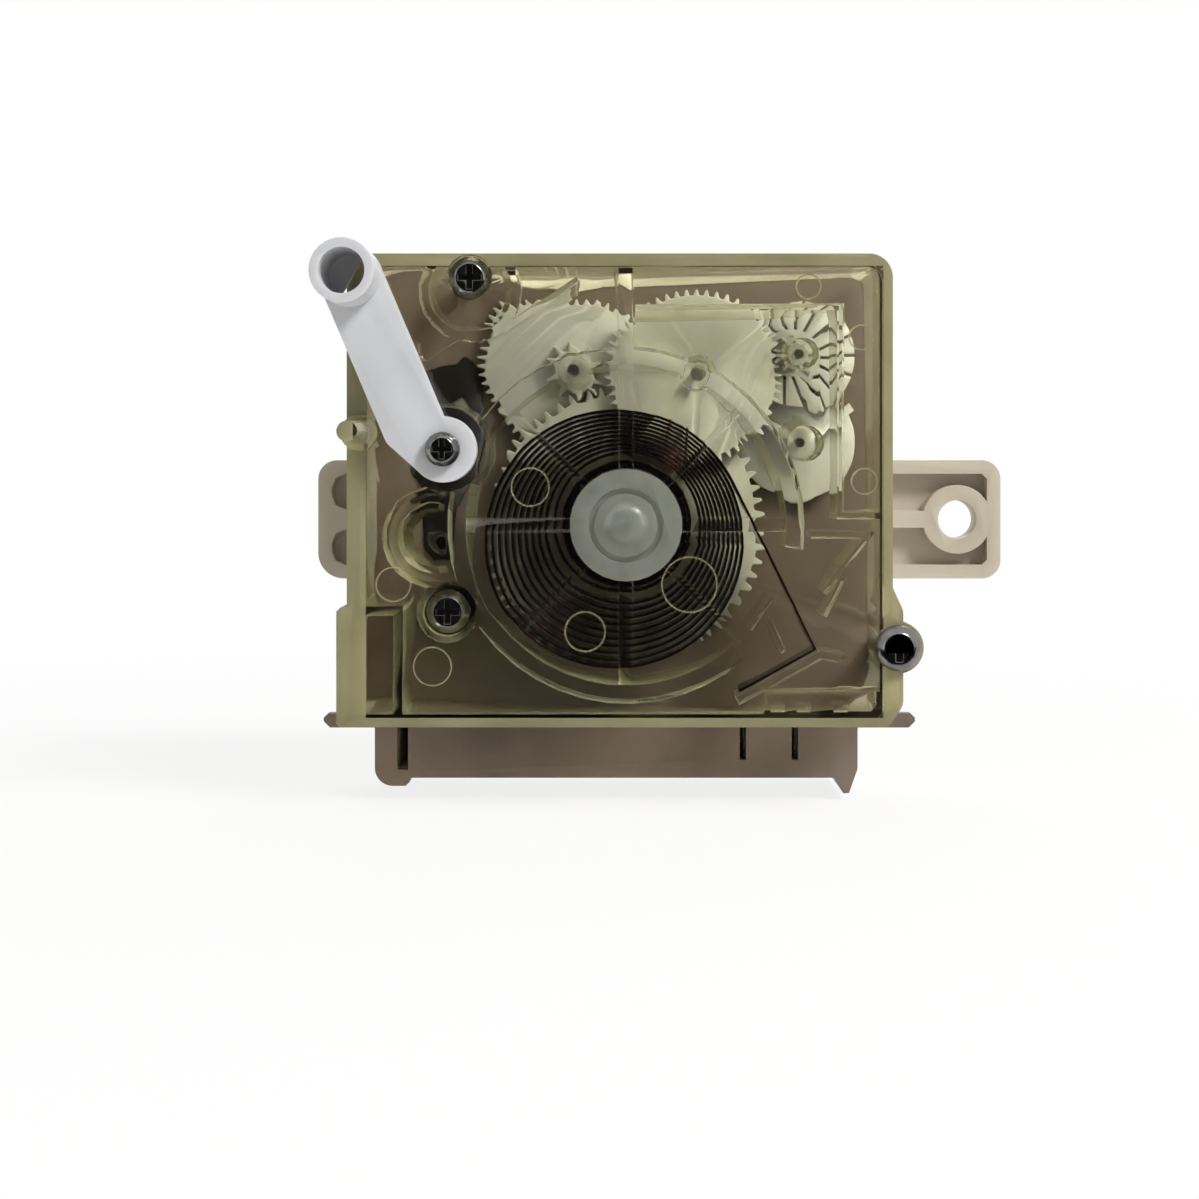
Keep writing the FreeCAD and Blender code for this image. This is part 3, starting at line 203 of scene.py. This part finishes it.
@dataclass(frozen=True)
class ClearFinish(Finish):
    """A clear moulding: bends what is behind it, and scatters a little where it is seen along its walls."""

    clearness: float = 1.0
    shade_colour: str = "#f8f8f4"

    def shader(self, tree: bpy.types.NodeTree) -> bpy.types.Node:
        """Make the clear shader.

        Args:
            tree: The material's node tree.

        Returns:
            The Principled shader node.
        """
        node = super().shader(tree)
        node.inputs["Transmission Weight"].default_value = self.clearness
        return node

    def surface(self, tree: bpy.types.NodeTree, shader: bpy.types.Node) -> bpy.types.NodeSocket:
        """Let the rays from the lamps through, so that the works behind are lit.

        Args:
            tree: The material's node tree.
            shader: The Principled shader.

        Returns:
            The mixed shader's socket.
        """
        rays = add_node(tree, "ShaderNodeLightPath")
        open_way = add_node(tree, "ShaderNodeBsdfTransparent", {"Color": linear(self.shade_colour)})
        mix = add_node(
            tree,
            "ShaderNodeMixShader",
            links={0: rays.outputs["Is Shadow Ray"], 1: shader.outputs["BSDF"], 2: open_way.outputs["BSDF"]},
        )
        return mix.outputs["Shader"]


# Injection-moulded styrene acrylonitrile, gone a little yellow: glossy and clear through its skin
CLEAR = ClearFinish("clear_styrene", "#fbfbf6", "#f7f6ee", 9.0, 0.035, 0.02, 1.4, 0.03, ior=1.57)
# The same plastic seen along its walls and at its rounded edges, where it is thick, scatters and looks olive
CLEAR_EDGE = ClearFinish(
    "clear_styrene_edge", "#e2dec2", "#d3ceab", 6.0, 0.06, 0.03, 1.4, 0.03,
    ior=1.57, clearness=0.78, shade_colour="#ecebe6",
)
# The end faces of the outer walls, where the olive of the whole depth shows
CLEAR_WALL = ClearFinish(
    "clear_styrene_wall", "#b0aa86", "#9d9772", 8.0, 0.12, 0.05, 1.4, 0.03,
    ior=1.57, clearness=0.35, shade_colour="#dcdacf",
)
# The cap over the hub, a little frosted by its turned mould
CLEAR_CAP = ClearFinish(
    "clear_styrene_cap", "#a9aca0", "#969a8d", 3.0, 0.2, 0.06, 0.7, 0.05,
    ior=1.57, clearness=0.5, shade_colour="#cfcec4",
)
# ABS moulding in cream: satin, with the fine spark texture of its mould
HOUSING = Finish("cream_abs", "#c4bbab", "#b4aa98", 14.0, 0.42, 0.06, 0.25, 0.12, ior=1.53)
# The housing's cream ABS, painted brown taupe for the plate between gears and switches. The taupe is painted shade
# where the casing keeps light off the plate and shadows its skirt, with the tint of the yellowed front painted in
# too.
PLATE_PAINTED_SHADE = Finish("cream_abs_painted_shade", "#74665b", "#62554b", 10.0, 0.45, 0.07, 0.3, 0.12, ior=1.53)
# Natural acetal for the gears: waxy, a little see-through at its teeth
ACETAL = Finish(
    "natural_acetal", "#cfd0cb", "#bfc0bb", 5.0, 0.36, 0.05, 0.5, 0.06, ior=1.48,
    subsurface=0.25, subsurface_mm=0.8,
)
# Nylon for the lever: whiter and duller than the gears
NYLON = Finish(
    "white_nylon", "#cdced1", "#c3c4c8", 7.0, 0.42, 0.05, 0.6, 0.06, ior=1.53,
    subsurface=0.3, subsurface_mm=1.2,
)
# Tempered spring strip: blue-brown oxide over steel, polished at its edges
SPRING = Finish("tempered_strip", "#3d2b26", "#251a19", 3.0, 0.2, 0.05, 0.2, 0.04, metallic=1.0)
# Sintered hub, dark with oil
HUB = Finish("oiled_sinter", "#3b3d38", "#2a2c28", 2.0, 0.38, 0.08, 0.2, 0.1, metallic=0.5)
# Turned and ground steel
TURNED = Finish("turned_steel", "#a9a7a2", "#8f8d88", 4.0, 0.28, 0.07, 0.15, 0.06, metallic=1.0)
# Nickel-plated screws: dark reflections with bright rims
SCREW = Finish("plated_screw", "#8b8a88", "#6f6e6e", 2.0, 0.17, 0.06, 0.3, 0.08, metallic=1.0)
# Oiled black sheet steel
BLACK_SHEET = Finish("black_sheet", "#2c2a2c", "#1d1b1c", 4.0, 0.36, 0.08, 0.3, 0.08, metallic=0.6)
# Rolled brass strip and silver points
BRASS = Finish("rolled_brass", "#b89a5f", "#9c7f49", 3.0, 0.3, 0.08, 0.2, 0.05, metallic=1.0)
SILVER = Finish("silver_point", "#c9c8c4", "#b3b2ae", 1.0, 0.28, 0.06, 0.2, 0.05, metallic=1.0)


# Inner sides of the clear outer walls: left, right, bottom and top, in mm
WALL_LIMITS = (-27.4, 27.1, -20.3, 27.3)
# Reach of the cap over the hub and the height from which it rises, in mm
CAP_RADIUS = 6.4
CAP_FOOT = 31.2


def dress(node: str, finish: Finish) -> None:
    """Give a CAD node its finish.

    Args:
        node: The node's name.
        finish: The finish for its whole surface.
    """
    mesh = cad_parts[node].data
    mesh.materials.clear()
    mesh.materials.append(finish.material())


def add_piece(name: str, bm: bmesh.types.BMesh, finish: Finish, body: Body) -> bpy.types.Object:
    """Turn a bmesh into a piece that rides on a body.

    Args:
        name: The piece's name.
        bm: Its mesh, in the row's frame.
        finish: Its finish.
        body: The body that it moves with.

    Returns:
        The new object.
    """
    mesh = bpy.data.meshes.new(name)
    bm.to_mesh(mesh)
    bm.free()
    piece = bpy.data.objects.new(name, mesh)
    bpy.context.scene.collection.objects.link(piece)
    mesh.materials.append(finish.material())
    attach(piece, body.value)
    return piece


def soften(piece: bpy.types.Object, width_mm: float, segments: int = 2, limit: float = 32.0) -> None:
    """Round a piece's sharp edges as a mould does, and shade it smooth.

    Args:
        piece: The object.
        width_mm: Width of the rounding.
        segments: Steps across the rounding.
        limit: Edges sharper than this many degrees are rounded.
    """
    for face in piece.data.polygons:
        face.use_smooth = True
    bevel = piece.modifiers.new("rounding", "BEVEL")
    bevel.width = width_mm * MM
    bevel.segments = segments
    bevel.limit_method = "ANGLE"
    bevel.angle_limit = math.radians(limit)
    bevel.harden_normals = True
    bevel.use_clamp_overlap = True


def soft_copy(
    node: str,
    finish: Finish,
    body: Body,
    width_mm: float,
    segments: int = 2,
    cuts: tuple[tuple[Vector, tuple[float, ...]], ...] = (),
) -> bpy.types.Object:
    """Stand in for a CAD node with a copy whose edges are rounded.

    Args:
        node: The node's name.
        finish: The copy's finish.
        body: The body that it moves with.
        width_mm: Width of the rounding.
        segments: Steps across the rounding.
        cuts: Axes with the distances in mm at which flat faces are parted for a second finish.

    Returns:
        The copy.
    """
    bm = bmesh.new()
    bm.from_mesh(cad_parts[node].data)
    bmesh.ops.remove_doubles(bm, verts=bm.verts, dist=2e-6)
    flat = {"delimit": set(), "use_dissolve_boundaries": False}
    bmesh.ops.dissolve_limit(bm, angle_limit=math.radians(0.8), verts=bm.verts, edges=bm.edges, **flat)
    for axis, limits in cuts:
        for limit in limits:
            geometry = bm.verts[:] + bm.edges[:] + bm.faces[:]
            bmesh.ops.bisect_plane(bm, geom=geometry, dist=1e-7, plane_co=axis * limit * MM, plane_no=axis)
    piece = add_piece("soft_" + node, bm, finish, body)
    soften(piece, width_mm, segments)
    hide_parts(node)
    return piece


def tell_edges(piece: bpy.types.Object, finish: Finish) -> None:
    """Give a clear piece's walls and rounded edges a finish of their own.

    Args:
        piece: The object.
        finish: The finish of the faces that run along the depth.
    """
    for each in (finish, CLEAR_WALL, CLEAR_CAP):
        piece.data.materials.append(each.material())
    left, right, bottom, top = (limit * MM for limit in WALL_LIMITS)
    for face in piece.data.polygons:
        middle = face.center
        if abs(face.normal.y) < DEPTH_SHARE:
            face.material_index = 1
        elif not (left < middle.x < right and bottom < middle.z < top):
            face.material_index = 2
        if math.hypot(middle.x, middle.z) < CAP_RADIUS * MM and -middle.y > CAP_FOOT * MM:
            face.material_index = 3
    piece.modifiers["rounding"].material = 1


def ring(
    bm: bmesh.types.BMesh, x: float, z: float, radius: float, width: float, low: float, high: float
) -> None:
    """Add a ring of square section round an axis along the depth.

    Args:
        bm: The mesh to add to.
        x: Centre across, in mm.
        z: Centre up, in mm.
        radius: Mean radius, in mm.
        width: Width of the section, in mm.
        low: Height of its lower face from the panel, in mm.
        high: Height of its upper face from the panel, in mm.
    """
    inner, outer = radius - width / 2, radius + width / 2
    corners = [(inner, low), (outer, low), (outer, high), (inner, high)]
    verts = [bm.verts.new(Vector((x + r, -h, z)) * MM) for r, h in corners]
    face = bm.faces.new(verts)
    bmesh.ops.spin(
        bm,
        geom=[face] + list(face.edges) + verts,
        cent=Vector((x, 0.0, z)) * MM,
        axis=(0.0, 1.0, 0.0),
        angle=2 * math.pi,
        steps=56,
        use_merge=True,
    )
    if face.is_valid:
        bmesh.ops.delete(bm, geom=[face], context="FACES_ONLY")


@dataclass
class Mainspring:
    """The coiled strip: even turns off centre, then a straight tail bent back at its anchor."""

    hub_radius: float = 5.95
    thickness: float = 0.3
    low: float = 24.6
    high: float = 29.6
    start_gap: float = 0.2
    turns: int = 12
    outer: float = 14.0
    offset: Vector = field(default_factory=lambda: Vector((-1.2, -1.8)))
    bend: Vector = field(default_factory=lambda: Vector((20.1, -13.2)))
    tail: float = 9.35
    tail_turn: float = 208.7
    steps: int = 84

    def radius(self, turn: float) -> float:
        """Return the strip's mean radius after so many turns, in mm."""
        start = self.hub_radius + self.thickness / 2 + self.start_gap
        if turn <= 1:
            return start + 0.45 * turn
        if turn <= 2:
            ease = (turn - 1) * (turn - 1) * (3 - 2 * (turn - 1))
            return start + 0.45 + (1.2 - 0.2 * (2 - turn)) * ease
        return start + 1.65 + (self.outer - start - 1.65) * (turn - 2) / (self.turns - 2)

    def path(self) -> list[tuple[float, float]]:
        """Return the points of the strip's middle line, from the hub out, in mm."""
        to_bend = self.bend - self.offset
        leave = math.atan2(to_bend.y, to_bend.x) + math.acos(self.outer / to_bend.length)
        total = self.turns * self.steps
        points = []
        for i in range(total + 1):
            turn = self.turns * i / total
            middle = self.offset * min(max((turn - 1) / (self.turns - 1), 0.0), 1.0)
            angle = leave + 2 * math.pi * (self.turns - turn)
            radius = self.radius(turn)
            points.append((middle.x + radius * math.cos(angle), middle.y + radius * math.sin(angle)))
        back = math.radians(self.tail_turn)
        end = self.bend + self.tail * Vector((math.cos(back), math.sin(back)))
        return points + [tuple(self.bend), tuple(end)]

    def build(self) -> bpy.types.Object:
        """Build the strip and put it in place of the plain one.

        Returns:
            The strip.
        """
        bm = bmesh.new()
        verts = [bm.verts.new(Vector((x, -self.low, z)) * MM) for x, z in self.path()]
        for a, b in zip(verts, verts[1:]):
            bm.edges.new((a, b))
        raised = bmesh.ops.extrude_edge_only(bm, edges=bm.edges[:])
        top = [v for v in raised["geom"] if isinstance(v, bmesh.types.BMVert)]
        bmesh.ops.translate(bm, verts=top, vec=(0.0, -(self.high - self.low) * MM, 0.0))
        strip = add_piece("coiled_strip", bm, SPRING, Body.CASE)
        wall = strip.modifiers.new("strip_thickness", "SOLIDIFY")
        wall.thickness = self.thickness * MM
        wall.offset = 0.0
        soften(strip, 0.07, 2, 50.0)
        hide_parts("mainspring")
        return strip


@dataclass
class Casing:
    """The clear cover with the marks of its mould, the plate behind it and the switch housing."""

    skin_inside: float = 30.8
    marks: tuple[tuple[float, float, float], ...] = (
        (19.3, 25.2, 1.3),
        (24.9, 19.8, 1.3),
        (25.2, 4.6, 1.35),
        (6.7, -6.3, 2.9),
        (-4.3, -11.3, 2.1),
        (-10.1, 4.0, 2.0),
        (-24.6, -6.3, 1.8),
        (-20.4, -15.0, 2.0),
    )

    def build(self) -> list[bpy.types.Object]:
        """Build and dress the casing.

        Returns:
            The pieces made.
        """
        across, upward = Vector((1.0, 0.0, 0.0)), Vector((0.0, 0.0, 1.0))
        cuts = ((across, WALL_LIMITS[:2]), (upward, WALL_LIMITS[2:]))
        cover = soft_copy("clear_cover", CLEAR, Body.CASE, 0.2, cuts=cuts)
        tell_edges(cover, CLEAR_EDGE)
        pieces = [
            cover,
            # The plate's taupe is painted shade over the housing's cream plastic
            soft_copy("mid_plate", PLATE_PAINTED_SHADE, Body.CASE, 0.2),
            soft_copy("rear_housing", HOUSING, Body.CASE, 0.3),
        ]
        return pieces + [self.ejector_marks()]

    def ejector_marks(self) -> bpy.types.Object:
        """Add the fine circles that the ejector pins left on the inside of the front.

        Returns:
            The circles as one piece.
        """
        bm = bmesh.new()
        for x, z, radius in self.marks:
            ring(bm, x, z, radius, 0.16, self.skin_inside - 0.14, self.skin_inside + 0.02)
        bmesh.ops.recalc_face_normals(bm, faces=bm.faces)
        return add_piece("ejector_marks", bm, CLEAR_EDGE, Body.CASE)


@dataclass
class Works:
    """Gears, arbors and cams."""

    def build(self) -> list[bpy.types.Object]:
        """Dress the gear train and soften its larger wheels.

        Returns:
            The pieces made.
        """
        wheels = {
            "main_wheel": Body.SHAFT,
            "second_wheel": Body.SECOND,
            "third_wheel": Body.THIRD,
            "escape_wheel": Body.ESCAPE,
            "balance_wheel": Body.BALANCE,
            "pallet_fork": Body.BALANCE,
        }
        pieces = [soft_copy(name, ACETAL, body, 0.08, 1) for name, body in wheels.items()]
        cams = {"program_cam": Body.SHAFT, "reversing_cam": Body.THIRD}
        pieces += [soft_copy(name, ACETAL, body, 0.1, 1) for name, body in cams.items()]
        pieces.append(soft_copy("spring_hub", HUB, Body.SHAFT, 0.1, 2))
        pieces.append(soft_copy("main_shaft", TURNED, Body.SHAFT, 0.15, 2))
        for name in ("clutch_washer", "second_arbor", "third_arbor", "escape_arbor", "balance_staff"):
            dress(name, TURNED)
        return pieces


@dataclass
class Lever:
    """The white lever with its open tube."""

    def build(self) -> list[bpy.types.Object]:
        """Build the lever with soft edges.

        Returns:
            The pieces made.
        """
        return [soft_copy("lever", NYLON, Body.LEVER, 0.35, 3)]


@dataclass
class Fasteners:
    """Screws, the hollow rivet and the black stay."""

    screws: tuple[str, ...] = ("cover_screw_top", "cover_screw_left", "cover_screw_right", "lever_screw")

    def build(self) -> list[bpy.types.Object]:
        """Build the fasteners with soft edges.

        Returns:
            The pieces made.
        """
        pieces = [soft_copy(name, SCREW, Body.CASE, 0.12, 2) for name in self.screws]
        pieces.append(soft_copy("hollow_rivet", SCREW, Body.CASE, 0.12, 2))
        pieces.append(soft_copy("stay_plate", BLACK_SHEET, Body.CASE, 0.08, 1))
        return pieces


@dataclass
class Contacts:
    """The brass leaves and silver points of the switches."""

    leaves: tuple[str, ...] = (
        "timer_fixed_leaf",
        "timer_moving_leaf",
        "reverse_leaf_a",
        "reverse_moving_leaf",
        "reverse_leaf_b",
    )
    points: tuple[str, ...] = ("timer_contact", "reverse_contact_a", "reverse_contact_b")

    def build(self) -> list[bpy.types.Object]:
        """Dress the leaves and points.

        Returns:
            An empty list, because the CAD nodes stay.
        """
        for name in self.leaves:
            dress(name, BRASS)
        for name in self.points:
            dress(name + "_moving", SILVER)
            dress(name + "_fixed", SILVER)
        return []


@dataclass
class Studio:
    """Pale floor, white surroundings, soft lamps and the camera of the photograph."""

    image_px: float = 1199.0
    px_per_mm: float = 9.5
    distance_mm: float = 240.0
    axis_px: tuple[float, float] = (612.0, 470.0)
    axis_mm: tuple[float, float] = (-1.47, 5.8)
    floor_z: float = -31.0
    # The floor turns white between these distances, from this share of white
    fade_mm: tuple[float, float] = (60.0, 220.0)
    near_share: float = 0.82
    # Strength of the surroundings for rays that light and do not show
    lit_share: float = 0.26
    # Half width, foot and top of the dark card, then how near its foot begins and how far it stands
    card_mm: tuple[float, float, float] = (260.0, -30.5, 240.0)
    card_away_mm: tuple[float, float] = (36.0, 400.0)
    # Name, place in metres, side in metres and power in watts of each lamp
    lamp_list: tuple[tuple[str, tuple[float, float, float], float, float], ...] = (
        ("key", (0.42, -0.42, 0.5), 0.2, 5.2),
        ("fill", (-0.5, -0.5, 0.1), 0.5, 0.5),
        ("back", (0.1, 0.5, 0.5), 0.5, 2.0),
    )

    def build(self) -> None:
        """Set up the view, the floor and the light."""
        self.camera()
        self.floor()
        self.dark_card()
        self.world()
        self.lamps()
        bpy.context.scene.view_settings.view_transform = "Standard"

    def camera(self) -> None:
        """Place the camera at the photograph's distance and height."""
        lens = bpy.data.cameras.new("view")
        lens.sensor_width = 36.0
        lens.lens = 36.0 * self.px_per_mm * self.distance_mm / self.image_px
        lens.shift_x = (self.image_px / 2 - self.axis_px[0]) / self.image_px
        lens.shift_y = -(self.image_px / 2 - self.axis_px[1]) / self.image_px
        lens.clip_start = 0.01
        camera = bpy.data.objects.new("view", lens)
        x, z = self.axis_mm
        camera.location = (x * MM, FRONT_Y - self.distance_mm * MM, z * MM)
        camera.rotation_euler = (math.radians(90.0), 0.0, 0.0)
        bpy.context.scene.collection.objects.link(camera)
        bpy.context.scene.camera = camera

    def floor(self) -> None:
        """Lay a pale floor under the timer that looks white and keeps a soft shadow."""
        bm = bmesh.new()
        bmesh.ops.create_grid(bm, x_segments=1, y_segments=1, size=2.5)
        bmesh.ops.translate(bm, verts=bm.verts, vec=(0.0, 0.0, self.floor_z * MM))
        mesh = bpy.data.meshes.new("floor")
        bm.to_mesh(mesh)
        bm.free()
        floor = bpy.data.objects.new("floor", mesh)
        bpy.context.scene.collection.objects.link(floor)
        paint = bpy.data.materials.new("pale_floor")
        paint.use_nodes = True
        tree = paint.node_tree
        tree.nodes.clear()
        matt = add_node(tree, "ShaderNodeBsdfDiffuse", {"Color": linear("#f2f1ee")})
        white = add_node(tree, "ShaderNodeEmission", {"Color": linear("#ffffff"), "Strength": 1.0})
        where = add_node(tree, "ShaderNodeTexCoord").outputs["Object"]
        away = add_node(tree, "ShaderNodeVectorMath", {"operation": "LENGTH"}, {0: where}).outputs["Value"]
        near, far = (limit * MM for limit in self.fade_mm)
        fade = {"From Min": near, "From Max": far, "To Min": self.near_share, "To Max": 1.0}
        white_share = add_node(tree, "ShaderNodeMapRange", fade, {"Value": away}).outputs["Result"]
        share = add_node(tree, "ShaderNodeMath", {"operation": "MULTIPLY"}, {0: white_share, 1: self.seen(tree)})
        ways = {0: share.outputs[0], 1: matt.outputs["BSDF"], 2: white.outputs["Emission"]}
        mix = add_node(tree, "ShaderNodeMixShader", links=ways)
        output = add_node(tree, "ShaderNodeOutputMaterial", links={"Surface": mix.outputs["Shader"]})
        output.is_active_output = True
        mesh.materials.append(paint)

    def dark_card(self) -> None:
        """Set a dark card behind and below the camera, which only shows where the clear front mirrors it."""
        bm = bmesh.new()
        half_width, low, high = self.card_mm
        near, away = self.card_away_mm
        profile = ((-near, low), (-away, low), (-away, high))
        rows = [[bm.verts.new(Vector((x, y, z)) * MM) for x in (-half_width, half_width)] for y, z in profile]
        for first, second in zip(rows, rows[1:]):
            bm.faces.new((first[0], first[1], second[1], second[0]))
        mesh = bpy.data.meshes.new("dark_card")
        bm.to_mesh(mesh)
        bm.free()
        card = bpy.data.objects.new("dark_card", mesh)
        bpy.context.scene.collection.objects.link(card)
        paint = bpy.data.materials.new("dark_card")
        paint.use_nodes = True
        paint.node_tree.nodes.clear()
        matt = add_node(paint.node_tree, "ShaderNodeBsdfDiffuse", {"Color": linear("#262524")})
        add_node(paint.node_tree, "ShaderNodeOutputMaterial", links={"Surface": matt.outputs["BSDF"]})
        mesh.materials.append(paint)
        card.visible_camera = False
        card.visible_diffuse = False
        card.visible_shadow = False

    def seen(self, tree: bpy.types.NodeTree) -> bpy.types.NodeSocket:
        """Tell the rays that show the background, straight, in metal or through glass, from those that light.

        Args:
            tree: The tree of a material or of the world.

        Returns:
            A socket that is 1 for a ray that shows the background.
        """
        rays = add_node(tree, "ShaderNodeLightPath").outputs
        larger = {"operation": "MAXIMUM"}
        straight = {0: rays["Is Camera Ray"], 1: rays["Is Transmission Ray"]}
        either = add_node(tree, "ShaderNodeMath", larger, straight).outputs[0]
        return add_node(tree, "ShaderNodeMath", larger, {0: either, 1: rays["Is Glossy Ray"]}).outputs[0]

    def world(self) -> None:
        """Surround the timer with white for what is seen, and a dimmer grey for what is lit."""
        world = bpy.data.worlds.new("surroundings")
        bpy.context.scene.world = world
        world.use_nodes = True
        tree = world.node_tree
        tree.nodes.clear()
        white = add_node(tree, "ShaderNodeBackground", {"Color": linear("#ffffff"), "Strength": 1.0})
        lit = add_node(tree, "ShaderNodeBackground", {"Color": linear("#ffffff"), "Strength": self.lit_share})
        ways = {0: self.seen(tree), 1: lit.outputs["Background"], 2: white.outputs["Background"]}
        mix = add_node(tree, "ShaderNodeMixShader", links=ways)
        add_node(tree, "ShaderNodeOutputWorld", links={"Surface": mix.outputs["Shader"]})

    def lamp(self, name: str, place: tuple[float, float, float], size: float, power: float) -> None:
        """Hang one square soft lamp that faces the timer.

        Args:
            name: The lamp's name.
            place: Where it hangs, in metres.
            size: Its side, in metres.
            power: Its power, in watts.
        """
        light = bpy.data.lights.new(name, "AREA")
        light.size = size
        light.energy = power
        lamp = bpy.data.objects.new(name, light)
        lamp.location = place
        lamp.rotation_euler = (-Vector(place)).to_track_quat("-Z", "Y").to_euler()
        bpy.context.scene.collection.objects.link(lamp)

    def lamps(self) -> None:
        """Hang the lamps: a key at the upper right, a weak one at the left and one behind."""
        for name, place, size, power in self.lamp_list:
            self.lamp(name, place, size, power)


def main() -> None:
    """Build every sub-assembly in order and set up the studio."""
    logging.basicConfig(level=logging.INFO, format="%(message)s")
    Studio().build()
    for part in (Casing(), Works(), Lever(), Fasteners(), Contacts()):
        for piece in part.build():
            LOG.info("%s: %d faces", piece.name, len(piece.data.polygons))
    spring = Mainspring().build()
    LOG.info("%s: %d faces", spring.name, len(spring.data.polygons))


if __name__ == "__main__":
    main()
